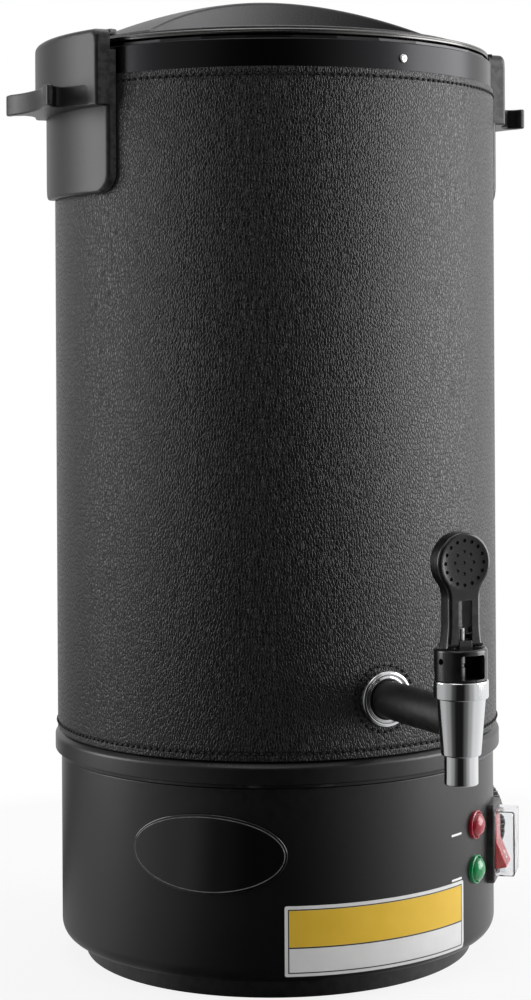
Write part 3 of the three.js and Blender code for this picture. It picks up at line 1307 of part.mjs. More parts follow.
function addHeater() {
  const plate = disc(heaterPlateRadius, heaterPlateBottom, heaterPlateTop, HIDDEN_SIDES);
  add('heater_plate', plate, aluminium);

  const ringHeight = heaterPlateBottom - GAP - ELEMENT_RADIUS;
  const halfSweep = ELEMENT_SWEEP * HALF;
  const ringSteps = 24;
  const ringPoints = Array.from({ length: ringSteps + 1 }, (_, i) => {
    const angle = degrees(-halfSweep + (ELEMENT_SWEEP * i) / ringSteps);
    return new THREE.Vector3(
      elementRingRadius * Math.cos(angle),
      elementRingRadius * Math.sin(angle),
      ringHeight,
    );
  });
  const legs = [ringPoints[0], ringPoints[ringSteps]].map((end) =>
    disc(ELEMENT_RADIUS * HALF, ringHeight - ELEMENT_LEG_LENGTH, ringHeight, SMALL_SIDES)
      .translate(end.x, end.y, 0),
  );
  const section = new THREE.Shape();
  section.absarc(0, 0, ELEMENT_RADIUS, 0, degrees(FULL_TURN));
  const ring = new THREE.ExtrudeGeometry(section, {
    steps: ringSteps,
    curveSegments: 4,
    bevelEnabled: false,
    extrudePath: new THREE.CatmullRomCurve3(ringPoints),
  });
  add('heating_element', join(ring, ...legs), steel);

  const cutoutTop = heaterPlateBottom - GAP;
  const cutout = disc(CUTOUT_RADIUS, cutoutTop - CUTOUT_HEIGHT, cutoutTop, SMALL_SIDES);
  add('thermal_cutout', cutout, darkPlate);

  const bulbHeight = heaterPlateBottom - GAP - BULB_RADIUS;
  const bulbStart = new THREE.Vector3(bulbOffset, -BULB_LENGTH * HALF, bulbHeight);
  const bulb = disc(BULB_RADIUS, 0, BULB_LENGTH, SMALL_SIDES)
    .rotateX(degrees(-QUARTER_TURN))
    .translate(bulbStart.x, bulbStart.y, bulbStart.z);
  const thermostatAngle = degrees(KNOB_ANGLE);
  const backRadius = baseInnerRadius - THERMOSTAT_LENGTH - THERMOSTAT_RADIUS * HALF * HALF;
  const backX = backRadius * Math.sin(thermostatAngle);
  const backY = -backRadius * Math.cos(thermostatAngle);
  const thermostatTop = knobHeight + THERMOSTAT_RADIUS * HALF;
  const capillaryPath = new THREE.CatmullRomCurve3([
    new THREE.Vector3(bulbStart.x, BULB_LENGTH * HALF - BULB_RADIUS, bulbHeight),
    new THREE.Vector3(bulbStart.x, BULB_LENGTH * HALF + BULB_RADIUS * 4, bulbHeight - BULB_RADIUS),
    new THREE.Vector3((bulbStart.x + backX) * HALF, BULB_LENGTH * HALF, (bulbHeight + thermostatTop) * HALF),
    new THREE.Vector3(backX - BULB_RADIUS * 4, backY + BULB_RADIUS * 2, thermostatTop),
    new THREE.Vector3(backX, backY, knobHeight),
  ]);
  const wire = new THREE.Shape();
  wire.absarc(0, 0, CAPILLARY_RADIUS, 0, degrees(FULL_TURN));
  const capillary = new THREE.ExtrudeGeometry(wire, {
    steps: 20,
    curveSegments: 3,
    bevelEnabled: false,
    extrudePath: capillaryPath,
  });
  add('thermostat_sensor', join(bulb, capillary), brass);
}

function addPlates() {
  const label = turned(
    [
      ...baseCurve(GAP + PLATE_THICKNESS),
      [baseRadius + GAP + PLATE_THICKNESS, baseTop],
      [baseRadius + GAP, baseTop],
      ...baseCurve(GAP).reverse(),
    ],
    BIG_SIDES,
  );
  const labelRoom = wedge(...LABEL_ANGLES, baseRadius * 2, labelBottom, labelTop);
  add('label_plate', common(label, labelRoom), printedPlate);

  const badgeRing = tube(onBase, onBase + BADGE_THICKNESS, 0, baseTop, BIG_SIDES);
  const oval = disc(1, 0, baseRadius + OVERRUN, MID_SIDES)
    .scale(BADGE_HALF_WIDTH, BADGE_HALF_HEIGHT, 1);
  const badge = common(
    badgeRing,
    outward(oval).translate(0, 0, badgeHeight),
  );
  add('badge_plate', badge, darkPlate, groupAt(BADGE_ANGLE));
}

function addGland() {
  const place = groupAt(GLAND_ANGLE, glandHeight);
  const flangeFront = onBase + GLAND_FLANGE_THICKNESS;
  const tail = baseInnerRadius - GLAND_NUT_THICKNESS - GLAND_NUT_THICKNESS;
  const blank = turned(
    [
      [GLAND_BORE_RADIUS, tail],
      [GLAND_RADIUS, tail],
      [GLAND_RADIUS, onBase],
      [GLAND_FLANGE_RADIUS, onBase],
      [GLAND_FLANGE_RADIUS, flangeFront],
      [GLAND_NOSE_RADIUS, flangeFront],
      [GLAND_NOSE_RADIUS - GLAND_FLANGE_THICKNESS * HALF, flangeFront + GLAND_NOSE_LENGTH],
      [GLAND_BORE_RADIUS, flangeFront + GLAND_NOSE_LENGTH],
    ],
    MID_SIDES,
  );
  add('cord_gland', outward(blank), tapPlastic, place);
  const sag = baseInnerRadius - Math.sqrt(baseInnerRadius ** 2 - GLAND_NUT_RADIUS ** 2);
  const nutFront = baseInnerRadius - sag - GAP;
  const nutBack = nutFront - GLAND_NUT_THICKNESS;
  const nut = outward(tube(GLAND_RADIUS + GAP, GLAND_NUT_RADIUS, nutBack, nutFront, NUT_SIDES));
  const nutBore = outward(disc(GLAND_RADIUS + GAP, 0, baseRadius, MID_SIDES));
  add('gland_nut', cut(nut, nutBore), tapPlastic, place);
}

addBottomCover();
addBase();
addCollar();
addJacket();
addInnerPot();
addHeater();
addHandles();
addLid();
addTapShank();
addTapBody();
addLamp('heating_lamp', heatingLampHeight, redLens);
addLamp('standby_lamp', standbyLampHeight, greenLens);
addSwitch();
addThermostat();
addPlates();
addGland();

export default pot;
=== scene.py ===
import math
import bmesh
import bpy
from mathutils import Matrix, Vector
from mathutils.geometry import delaunay_2d_cdt


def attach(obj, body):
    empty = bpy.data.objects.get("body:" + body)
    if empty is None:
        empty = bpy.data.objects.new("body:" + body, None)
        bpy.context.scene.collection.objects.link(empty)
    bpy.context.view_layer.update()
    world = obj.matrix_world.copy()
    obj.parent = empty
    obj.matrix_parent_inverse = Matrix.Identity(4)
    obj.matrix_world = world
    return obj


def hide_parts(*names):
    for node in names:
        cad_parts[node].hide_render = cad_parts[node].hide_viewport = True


bl_info = {
    "name": "Wax Melting Pot Dresser",
    "version": (1, 0, 0),
    "blender": (4, 5, 0),
    "location": "View3D > Sidebar > Wax Pot",
    "description": "Dresses the CAD frame of an electric wax melting pot with finished pieces",
    "category": "Object",
}

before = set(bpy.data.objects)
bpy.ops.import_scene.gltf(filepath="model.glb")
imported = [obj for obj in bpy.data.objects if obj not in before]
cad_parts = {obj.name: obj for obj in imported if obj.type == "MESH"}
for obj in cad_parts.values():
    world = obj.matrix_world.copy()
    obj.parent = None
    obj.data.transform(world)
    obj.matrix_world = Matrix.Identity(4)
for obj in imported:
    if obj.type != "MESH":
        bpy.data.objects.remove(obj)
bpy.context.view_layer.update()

# Meshes are drawn in millimetres and made metres when a piece is finished
MM = 0.001
FIT = 0.3
ROUND = 192
TAP_ROUND = 96
LENS_ROUND = 48
BOSS_ROUND = 32
PIN_ROUND = 24
TURNED_MAP_RADIUS = 100
TAU = math.tau

# Jacket and base, as in the CAD model
WRAP_RADIUS = 117.5
WRAP_THICKNESS = 0.8
WRAP_BOTTOM = 119.0
WRAP_TOP = 456.7
SHELL_RADIUS = 116.4
SHELL_TOP = 470.5
SHELL_LIP = 5.0
COLLAR_RADIUS = 118.8
COLLAR_BOTTOM = 106.0
COLLAR_TOP = 118.7
BASE_RADIUS = 115.6
BASE_WALL = 2.5
BASE_BOTTOM = 10.6
BASE_TOP = 105.7
BASE_ROUND_WIDTH = 5.4
BASE_ROUND_HEIGHT = 7.2
BASE_OPENING = 84.0
FOOT_RADIUS = 102.9
FOOT_TOP = 10.3
COVER_SCREW_RING = 92.0
COVER_SCREW_COUNT = 4
HEM_DEPTH = 0.22

# Side handles
HANDLE_HALF_WIDTH = 42.5
HANDLE_PLATE_RADIUS = 121.9
HANDLE_UPPER_RADIUS = 127.7
HANDLE_BOTTOM = 397.5
HANDLE_TOP = 479.0
HANDLE_HOOK_RADIUS = 115.8
EAR_BOTTOM = 440.5
EAR_TOP = 451.3
EAR_REACH = 141.5
NOTCH_BOTTOM = 468.8
NOTCH_TOP = 476.2
NOTCH_RADIUS = 120.7

# Lid
LID_EDGE_RADIUS = 115.0
LID_DISC_TOP = 475.4
LID_COVER_RADIUS = 104.5
LID_COVER_BOTTOM = 475.7
LID_COVER_TOP = 478.3
LID_CROWN_TOP = 503.0
LID_CROWN_EDGE = 478.6
LID_GRIP_HALF_WIDTH = 20.0
LID_GRIP_SIDE_RADIUS = 181.0

# Tap
TAP_HEIGHT = 147.2
TAP_REACH = 187.5
CUP_TOP = 166.1
BONNET_TOP = 181.0
LEVER_DISC_HEIGHT = 220.4
LEVER_DISC_RADIUS = 14.2
LEVER_PIN_HEIGHT = 186.5
CONE_BOTTOM = 131.3
CONE_TOP = 157.8
SLEEVE_RADIUS = 9.25

# Controls, each at an angle from the tap towards +X
LAMP_ANGLE = 34.0
HEATING_HEIGHT = 73.9
STANDBY_HEIGHT = 51.2
SWITCH_ANGLE = 50.0
SWITCH_HEIGHT = 59.0
SWITCH_FACE = 118.6
ROCKER_HALF = 14.0
ROCKER_RISE = 2.7
ROCKER_MIDDLE = 3.8
LENS_RADIUS = 7.35
LENS_BACK = 115.0
KNOB_ANGLE = 87.0
KNOB_HEIGHT = 54.0
KNOB_BACK = 117.4
KNOB_DEPTH = 12.0
LABEL_ANGLES = (-25.5, 27.2)
LABEL_HEIGHTS = (14.0, 48.5)
BADGE_ANGLE = -44.8
BADGE_HEIGHT = 73.0
GLAND_HEIGHT = 34.0
MARK_BACK = BASE_RADIUS - 0.1
MARK_FRONT = BASE_RADIUS + 0.08

finishes = {}


# Shader helpers

def feed(tree, node, inputs):
    """Link or set inputs of a node, whichever their values call for."""
    for key, value in inputs.items():
        if isinstance(value, bpy.types.NodeSocket):
            tree.links.new(value, node.inputs[key])
        else:
            node.inputs[key].default_value = value


def put(tree, kind, inputs=None, **settings):
    """Add one node, with values or links on its inputs."""
    made = tree.nodes.new(kind)
    for key, value in settings.items():
        setattr(made, key, value)
    feed(tree, made, inputs or {})
    return made


def maths(tree, operation, first, second=0.0, third=0.0, clamp=False):
    made = put(tree, "ShaderNodeMath", {0: first, 1: second, 2: third}, operation=operation, use_clamp=clamp)
    return made.outputs[0]


def noise(tree, vector, scale, detail, **more):
    made = put(tree, "ShaderNodeTexNoise", {"Vector": vector, "Scale": scale, "Detail": detail, **more})
    return made.outputs["Fac"]


def scaled(tree, vector, scale):
    return put(tree, "ShaderNodeVectorMath", {0: vector, "Scale": scale}, operation="SCALE").outputs[0]


def ramp_between(tree, value, low, high, smooth=True):
    kind = "SMOOTHSTEP" if smooth else "LINEAR"
    made = put(tree, "ShaderNodeMapRange", {"Value": value, "From Min": low, "From Max": high},
               interpolation_type=kind)
    return made.outputs["Result"]


def blend_colours(tree, factor, first, second):
    made = put(tree, "ShaderNodeMix", data_type="RGBA")
    feed(tree, made, {0: factor, 6: first, 7: second})
    return made.outputs[2]


def new_group(name, inputs, outputs, kind="ShaderNodeTree"):
    """A node group with named inputs (name, kind, default) and outputs (name, kind)."""
    tree = bpy.data.node_groups.new(name, kind)
    for label, socket_type, default in inputs:
        socket = tree.interface.new_socket(name=label, in_out="INPUT", socket_type=socket_type)
        if default is not None:
            socket.default_value = default
    for label, socket_type in outputs:
        tree.interface.new_socket(name=label, in_out="OUTPUT", socket_type=socket_type)
    return tree, tree.nodes.new("NodeGroupInput").outputs, tree.nodes.new("NodeGroupOutput").inputs


FLOAT = "NodeSocketFloat"
COUNT = "NodeSocketInt"
VECTOR = "NodeSocketVector"
COLOUR = "NodeSocketColor"
GEOMETRY = "NodeSocketGeometry"
EDGE_WEAR = 0.35
DARKER_STAIN = 0.82


def moulded_grain_group():
    """Fine spark-eroded grain of moulded plastic, and slow changes of its gloss."""
    tree, given, result = new_group(
        "moulded_grain",
        [("Vector", VECTOR, None), ("Scale", FLOAT, 900.0), ("Roughness", FLOAT, 0.4),
         ("Spread", FLOAT, 0.1)],
        [("Height", FLOAT), ("Roughness", FLOAT), ("Tone", FLOAT)],
    )
    fine = noise(tree, given["Vector"], given["Scale"], 3.0)
    slow_scale = maths(tree, "MULTIPLY", given["Scale"], 0.018)
    slow = noise(tree, given["Vector"], slow_scale, 5.0, Roughness=0.6)
    shift = maths(tree, "MULTIPLY", maths(tree, "SUBTRACT", slow, 0.5), given["Spread"])
    speck = maths(tree, "MULTIPLY", maths(tree, "SUBTRACT", fine, 0.5), 0.08)
    gloss = maths(tree, "ADD", maths(tree, "ADD", given["Roughness"], shift), speck, clamp=True)
    tree.links.new(fine, result["Height"])
    tree.links.new(gloss, result["Roughness"])
    tree.links.new(slow, result["Tone"])


def leather_grain_group():
    """Pressed leather grain: long pebbles between creases, on a surface map in metres."""
    tree, given, result = new_group(
        "leather_grain",
        [("Vector", VECTOR, None), ("Cell Width", FLOAT, 0.0016), ("Cell Height", FLOAT, 0.0030),
         ("Wander", FLOAT, 0.9)],
        [("Height", FLOAT), ("Crease", FLOAT), ("Tone", FLOAT)],
    )
    place = put(tree, "ShaderNodeSeparateXYZ", {0: given["Vector"]}).outputs
    across = maths(tree, "DIVIDE", place[0], given["Cell Width"])
    along = maths(tree, "DIVIDE", place[1], given["Cell Height"])
    cells = put(tree, "ShaderNodeCombineXYZ", {0: across, 1: along}).outputs[0]
    bend = put(tree, "ShaderNodeTexNoise", {"Vector": cells, "Scale": 0.55, "Detail": 2.0})
    moved = put(tree, "ShaderNodeVectorMath", {0: bend.outputs["Color"], 1: (0.5, 0.5, 0.5)},
                operation="SUBTRACT").outputs[0]
    wander = scaled(tree, moved, given["Wander"])
    warped = put(tree, "ShaderNodeVectorMath", {0: cells, 1: wander}, operation="ADD").outputs[0]
    edges = [
        put(tree, "ShaderNodeTexVoronoi", {"Vector": warped, "Scale": scale}, voronoi_dimensions="2D",
            feature="DISTANCE_TO_EDGE").outputs["Distance"]
        for scale in (1.0, 2.1)
    ]
    pebble = ramp_between(tree, edges[0], 0.0, 0.28)
    small = ramp_between(tree, edges[1], 0.0, 0.32)
    fine = noise(tree, cells, 5.0, 3.0)
    height = maths(tree, "ADD", maths(tree, "MULTIPLY", pebble, 0.75), maths(tree, "MULTIPLY", small, 0.18))
    height = maths(tree, "ADD", height, maths(tree, "MULTIPLY", fine, 0.10))
    slow = noise(tree, cells, 0.02, 4.0)
    tree.links.new(height, result["Height"])
    # Crease is 1 in the creases; the leatherette uses it for painted shade in the creases and for their
    # roughness.
    tree.links.new(maths(tree, "SUBTRACT", 1.0, pebble), result["Crease"])
    tree.links.new(slow, result["Tone"])


def edge_wear_group():
    """Edges rubbed lighter, broken up by noise."""
    tree, given, result = new_group(
        "edge_wear",
        [("Colour", COLOUR, (0.02, 0.02, 0.02, 1)), ("Worn Colour", COLOUR, (0.1, 0.1, 0.1, 1)),
         ("Amount", FLOAT, 0.5), ("Vector", VECTOR, None)],
        [("Colour", COLOUR), ("Mask", FLOAT)],
    )
    bend = put(tree, "ShaderNodeNewGeometry").outputs["Pointiness"]
    edge = ramp_between(tree, bend, 0.505, 0.56)
    broken = ramp_between(tree, noise(tree, given["Vector"], 260.0, 4.0), 0.35, 0.62)
    mask = maths(tree, "MULTIPLY", maths(tree, "MULTIPLY", edge, broken), given["Amount"], clamp=True)
    tree.links.new(blend_colours(tree, mask, given["Colour"], given["Worn Colour"]), result["Colour"])
    tree.links.new(mask, result["Mask"])


def brushed_lines_group():
    """Drawn or turned lines in metal, along the first axis of a surface map in metres."""
    tree, given, result = new_group(
        "brushed_lines",
        [("Vector", VECTOR, None), ("Along", FLOAT, 12.0), ("Across", FLOAT, 2600.0),
         ("Roughness", FLOAT, 0.25), ("Spread", FLOAT, 0.1)],
        [("Height", FLOAT), ("Roughness", FLOAT)],
    )
    place = put(tree, "ShaderNodeSeparateXYZ", {0: given["Vector"]}).outputs
    lines = put(tree, "ShaderNodeCombineXYZ", {
        0: maths(tree, "MULTIPLY", place[0], given["Along"]),
        1: maths(tree, "MULTIPLY", place[1], given["Across"]),
    }).outputs[0]
    drawn = noise(tree, lines, 1.0, 5.0)
    shift = maths(tree, "MULTIPLY", maths(tree, "SUBTRACT", drawn, 0.5), given["Spread"])
    tree.links.new(drawn, result["Height"])
    tree.links.new(maths(tree, "ADD", given["Roughness"], shift, clamp=True), result["Roughness"])


def new_material(name):
    """An empty material with its shader and the object's own coordinates."""
    material = bpy.data.materials.new(name)
    material.use_nodes = True
    tree = material.node_tree
    shader = tree.nodes["Principled BSDF"]
    place = put(tree, "ShaderNodeTexCoord").outputs
    finishes[name] = material
    return tree, shader, place


def group_node(tree, name, inputs):
    """Place a shared node group in a material with its own values."""
    made = tree.nodes.new("ShaderNodeGroup")
    made.node_tree = bpy.data.node_groups[name]
    feed(tree, made, inputs)
    return made.outputs


def add_bump(tree, shader, height, distance):
    bump = put(tree, "ShaderNodeBump", {"Height": height, "Distance": distance, "Strength": 1.0})
    tree.links.new(bump.outputs["Normal"], shader.inputs["Normal"])


def moulded_plastic(name, colour, worn, roughness, spread=0.12, scale=900.0, depth=0.00002, coat=0.0):
    """Moulded plastic: grain in its gloss and bump, and edges rubbed lighter."""
    tree, shader, place = new_material(name)
    grain = group_node(tree, "moulded_grain", {"Vector": place["Object"], "Scale": scale,
                                               "Roughness": roughness, "Spread": spread})
    edges = group_node(tree, "edge_wear", {"Colour": colour, "Worn Colour": worn, "Amount": EDGE_WEAR,
                                           "Vector": place["Object"]})
    shade = maths(tree, "MULTIPLY_ADD", grain["Tone"], 0.3, 0.85)
    feed(tree, shader, {"Base Color": scaled(tree, edges["Colour"], shade), "Roughness": grain["Roughness"],
                        "Coat Weight": coat, "Coat Roughness": 0.12})
    add_bump(tree, shader, grain["Height"], depth)


def worked_metal(name, colour, roughness, spread, along, across, depth, on_surface=False):
    """Metal with drawn lines; on_surface reads the piece's own surface map."""
    tree, shader, place = new_material(name)
    vector = put(tree, "ShaderNodeUVMap", uv_map="surface").outputs[0] if on_surface else place["Object"]
    lines = group_node(tree, "brushed_lines", {"Vector": vector, "Along": along, "Across": across,
                                               "Roughness": roughness, "Spread": spread})
    stains = noise(tree, place["Object"], 35.0, 4.0)
    dark = tuple(value * DARKER_STAIN for value in colour[:3]) + (1.0,)
    feed(tree, shader, {"Base Color": blend_colours(tree, stains, dark, colour),
                        "Roughness": lines["Roughness"], "Metallic": 1.0})
    add_bump(tree, shader, lines["Height"], depth)


def leatherette_finish(settings):
    tree, shader = new_material("leatherette")[:2]
    surface = put(tree, "ShaderNodeUVMap", uv_map="surface").outputs[0]
    grain = group_node(tree, "leather_grain", {"Vector": surface, "Cell Width": settings.grain_width,
                                               "Cell Height": settings.grain_height, "Wander": 1.1})
    colour = tuple(settings.leather_colour) + (1.0,)
    # Painted shade: the creases of the grain are darkened to less than half the leather's colour.
    crease_shade = tuple(value * 0.45 for value in settings.leather_colour) + (1.0,)
    base = blend_colours(tree, maths(tree, "MULTIPLY", grain["Crease"], 0.8), colour, crease_shade)
    tone = maths(tree, "MULTIPLY_ADD", grain["Tone"], 0.35, 0.82)
    toned = scaled(tree, base, tone)
    gloss = maths(tree, "MULTIPLY_ADD", grain["Crease"], 0.22, settings.leather_roughness)
    shift = maths(tree, "SUBTRACT", grain["Tone"], 0.5)
    gloss = maths(tree, "ADD", gloss, maths(tree, "MULTIPLY", shift, 0.1))
    feed(tree, shader, {"Base Color": toned, "Roughness": gloss, "Specular IOR Level": 0.45})
    add_bump(tree, shader, grain["Height"], settings.grain_depth)


def thread_finish():
    tree, shader, place = new_material("thread")
    twist = put(tree, "ShaderNodeTexWave", {"Vector": place["Object"], "Scale": 1400.0, "Distortion": 3.0})
    dark, light = (0.0008, 0.0008, 0.0008, 1), (0.004, 0.004, 0.004, 1)
    feed(tree, shader, {"Base Color": blend_colours(tree, twist.outputs["Fac"], dark, light),
                        "Roughness": 0.5, "Specular IOR Level": 0.25})
    add_bump(tree, shader, twist.outputs["Fac"], 0.0001)


def lens_finish(name, colour, deep):
    """Tinted lamp lens with a fine cell pattern."""
    tree, shader, place = new_material(name)
    slow = noise(tree, place["Object"], 180.0, 2.0)
    flutes = put(tree, "ShaderNodeTexVoronoi", {"Vector": place["Object"], "Scale": 700.0})
    gloss = maths(tree, "MULTIPLY_ADD", flutes.outputs["Distance"], 0.12, 0.1)
    feed(tree, shader, {
        "Base Color": blend_colours(tree, slow, deep, colour), "Roughness": gloss, "Coat Weight": 0.5,
        "Subsurface Weight": 0.25, "Subsurface Radius": (0.004, 0.004, 0.004), "Subsurface Scale": 0.5})
    add_bump(tree, shader, flutes.outputs["Distance"], 0.00012)


def clear_finish():
    tree, shader, place = new_material("clear_plastic")
    smudge = noise(tree, place["Object"], 120.0, 4.0)
    dull, clear = (0.86, 0.87, 0.88, 1), (0.92, 0.92, 0.93, 1)
    feed(tree, shader, {
        "Base Color": blend_colours(tree, smudge, dull, clear),
        "Roughness": maths(tree, "MULTIPLY", smudge, 0.05), "Transmission Weight": 1.0, "IOR": 1.2})
    add_bump(tree, shader, smudge, 0.00015)


def strip(tree, value, low, high, soft):
    """1 between two values of a coordinate and 0 outside them."""
    rise = ramp_between(tree, value, low - soft, low + soft, smooth=False)
    fall = ramp_between(tree, value, high + soft, high - soft, smooth=False)
    return maths(tree, "MULTIPLY", rise, fall)


def label_finish(settings):
    """Printed label: white border, dark frame line, yellow field over a white one, all blank."""
    tree, shader, place = new_material("label_print")
    surface = put(tree, "ShaderNodeUVMap", uv_map="surface").outputs[0]
    at = put(tree, "ShaderNodeSeparateXYZ", {0: surface}).outputs
    left, right = (math.radians(angle) * BASE_RADIUS * MM for angle in LABEL_ANGLES)
    bottom, top = (height * MM for height in LABEL_HEIGHTS)
    soft = 0.0001

    def box_mask(margin, floor):
        return maths(tree, "MULTIPLY", strip(tree, at[0], left + margin, right - margin, soft),
                     strip(tree, at[1], floor, top - margin, soft))

    border, frame_line = 0.0016, 0.0022
    rule_low, rule_high = (bottom + (top - bottom) * share for share in (0.40, 0.42))
    outer = box_mask(border, bottom + border)
    inner = box_mask(frame_line, bottom + frame_line)
    field = box_mask(frame_line, rule_high)
    rule = strip(tree, at[1], rule_low, rule_high, soft)
    white = (0.66, 0.66, 0.66, 1)
    ink = (0.012, 0.012, 0.012, 1)
    worn = noise(tree, place["Object"], 90.0, 3.0)
    paper = blend_colours(tree, worn, white, (0.76, 0.76, 0.76, 1))
    yellow = blend_colours(tree, worn, tuple(settings.label_colour) + (1,), (0.78, 0.50, 0.03, 1))
    colour = blend_colours(tree, outer, paper, ink)
    colour = blend_colours(tree, inner, colour, paper)
    colour = blend_colours(tree, field, colour, yellow)
    colour = blend_colours(tree, maths(tree, "MULTIPLY", rule, inner), colour, ink)
    feed(tree, shader, {"Base Color": colour, "Roughness": maths(tree, "MULTIPLY_ADD", worn, 0.1, 0.28),
                        "Coat Weight": 0.3})
    add_bump(tree, shader, worn, 0.00008)


def make_finishes(settings):
    """Build every material once."""
    moulded_grain_group()
    leather_grain_group()
    edge_wear_group()
    brushed_lines_group()
    leatherette_finish(settings.jacket)
    thread_finish()
    black = tuple(settings.base.base_colour) + (1.0,)
    charcoal = tuple(settings.handles.handle_colour) + (1.0,)
    moulded_plastic("base_plastic", black, (0.06, 0.06, 0.062, 1), settings.base.base_roughness)
    moulded_plastic("handle_plastic", charcoal, (0.13, 0.125, 0.128, 1), 0.42, spread=0.04, scale=1300.0,
                    depth=0.00003)
    moulded_plastic("lid_plastic", tuple(settings.lid.lid_colour) + (1.0,), (0.12, 0.115, 0.118, 1), 0.46,
                    spread=0.05, scale=1100.0, depth=0.00010)
    moulded_plastic("tap_plastic", (0.0045, 0.0045, 0.0048, 1), (0.06, 0.06, 0.062, 1), 0.22)
    moulded_plastic("sleeve_plastic", (0.0035, 0.0035, 0.0037, 1), (0.04, 0.04, 0.04, 1), 0.44, depth=0.00003)
    moulded_plastic("badge_plastic", (0.0025, 0.0025, 0.0027, 1), (0.05, 0.05, 0.05, 1), 0.12, spread=0.05,
                    depth=0.000008, coat=0.6)
    moulded_plastic("red_plastic", (0.40, 0.004, 0.007, 1), (0.55, 0.04, 0.04, 1), 0.22, depth=0.00001,
                    coat=0.3)
    moulded_plastic("white_print", (0.80, 0.80, 0.79, 1), (0.6, 0.6, 0.6, 1), 0.45)
    moulded_plastic("silicone", (0.022, 0.022, 0.023, 1), (0.05, 0.05, 0.05, 1), 0.6, depth=0.00003)
    moulded_plastic("insulation", (0.62, 0.58, 0.47, 1), (0.7, 0.66, 0.55, 1), 0.9, scale=400.0, depth=0.0005)
    moulded_plastic("pale_outline", (0.10, 0.10, 0.105, 1), (0.3, 0.3, 0.3, 1), 0.3, depth=0.00001)
    worked_metal("band_steel", (0.030, 0.030, 0.032, 1), 0.30, 0.08, 8.0, 2600.0, 0.000001, on_surface=True)
    worked_metal("pot_steel", (0.55, 0.55, 0.56, 1), 0.28, 0.12, 30.0, 900.0, 0.00001)
    worked_metal("inner_steel", (0.06, 0.06, 0.062, 1), 0.35, 0.12, 30.0, 900.0, 0.00001)
    worked_metal("lid_steel", (0.16, 0.158, 0.155, 1), 0.26, 0.10, 8.0, 2200.0, 0.000004, on_surface=True)
    worked_metal("chrome", (0.86, 0.87, 0.88, 1), 0.06, 0.03, 60.0, 400.0, 0.000002)
    worked_metal("brass", (0.62, 0.44, 0.16, 1), 0.32, 0.12, 40.0, 700.0, 0.00002)
    worked_metal("aluminium", (0.52, 0.53, 0.54, 1), 0.42, 0.14, 40.0, 600.0, 0.00003)
    lens_finish("red_lens", (0.45, 0.010, 0.030, 1), (0.20, 0.003, 0.010, 1))
    lens_finish("green_lens", (0.006, 0.33, 0.10, 1), (0.001, 0.14, 0.04, 1))
    clear_finish()
    label_finish(settings.plates)


# Mesh helpers, in millimetres

def rounded(points, steps=4, closed=True):
    """Round the corners of a line of points; a corner's third number is its radius."""
    result = []
    last = len(points) - 1
    for i, point in enumerate(points):
        radius = point[2] if len(point) > 2 else 0.0
        here = Vector(point[:2])
        if radius <= 0.0 or (not closed and i in (0, last)):
            result.append(tuple(here))
            continue
        to_before = (Vector(points[i - 1][:2]) - here).normalized()
        to_after = (Vector(points[(i + 1) % len(points)][:2]) - here).normalized()
        angle = to_before.angle(to_after)
        centre = here + (to_before + to_after).normalized() * (radius / math.sin(angle / 2))
        start = here + to_before * (radius / math.tan(angle / 2)) - centre
        end = here + to_after * (radius / math.tan(angle / 2)) - centre
        sweep = math.atan2(start.x * end.y - start.y * end.x, start.dot(end))
        for k in range(steps + 1):
            turn = sweep * k / steps
            cos, sin = math.cos(turn), math.sin(turn)
            result.append((centre.x + start.x * cos - start.y * sin,
                           centre.y + start.x * sin + start.y * cos))
    return result


def arc(centre, radius, start, end, steps):
    """Points of an arc, angles in degrees."""
    angles = [math.radians(start + (end - start) * k / steps) for k in range(steps + 1)]
    return [(centre[0] + radius * math.cos(a), centre[1] + radius * math.sin(a)) for a in angles]


def rounded_rectangle(width, height, radius, steps=6):
    x, y = width / 2, height / 2
    return rounded([(-x, -y, radius), (x, -y, radius), (x, y, radius), (-x, y, radius)], steps)


def lathe(profile, segments, sweep=TAU, start=0.0):
    """Turn a closed line of (radius, height) points about Z."""
    bm = bmesh.new()
    full = abs(sweep - TAU) < 1e-9
    count = segments if full else segments + 1
    rings = []
    for radius, height in profile:
        if radius < 1e-6:
            rings.append([bm.verts.new((0, 0, height))] * count)
            continue
        ring = []
        for k in range(count):
            angle = start + sweep * k / segments
            ring.append(bm.verts.new((radius * math.cos(angle), radius * math.sin(angle), height)))
        rings.append(ring)
    for i, ring in enumerate(rings):
        other = rings[(i + 1) % len(rings)]
        for k in range(segments):
            after = (k + 1) % count
            corners = [ring[k], ring[after], other[after], other[k]]
            unique = list(dict.fromkeys(corners))
            if len(unique) > 2:
                bm.faces.new(unique)
    if not full:
        bm.faces.new([ring[0] for ring in rings])
        bm.faces.new([ring[-1] for ring in reversed(rings)])
    return bm


def rod(radius, low, high, segments):
    return lathe([(0, low), (radius, low), (radius, high), (0, high)], segments)


def inside(point, outline):
    """Whether a point lies inside an outline."""
    x, y = point
    odd = False
    for i, (x1, y1) in enumerate(outline):
        x0, y0 = outline[i - 1]
        if (y0 > y) != (y1 > y) and x < (x1 - x0) * (y - y0) / (y1 - y0) + x0:
            odd = not odd
    return odd


def shared_out(outline, spacing):
    """Put points on an outline's long sides, so that it can bend."""
    result = []
    for i, point in enumerate(outline):
        here, after = Vector(point), Vector(outline[(i + 1) % len(outline)])
        parts = max(1, math.ceil((after - here).length / spacing))
        result += [tuple(here.lerp(after, k / parts)) for k in range(parts)]
    return result


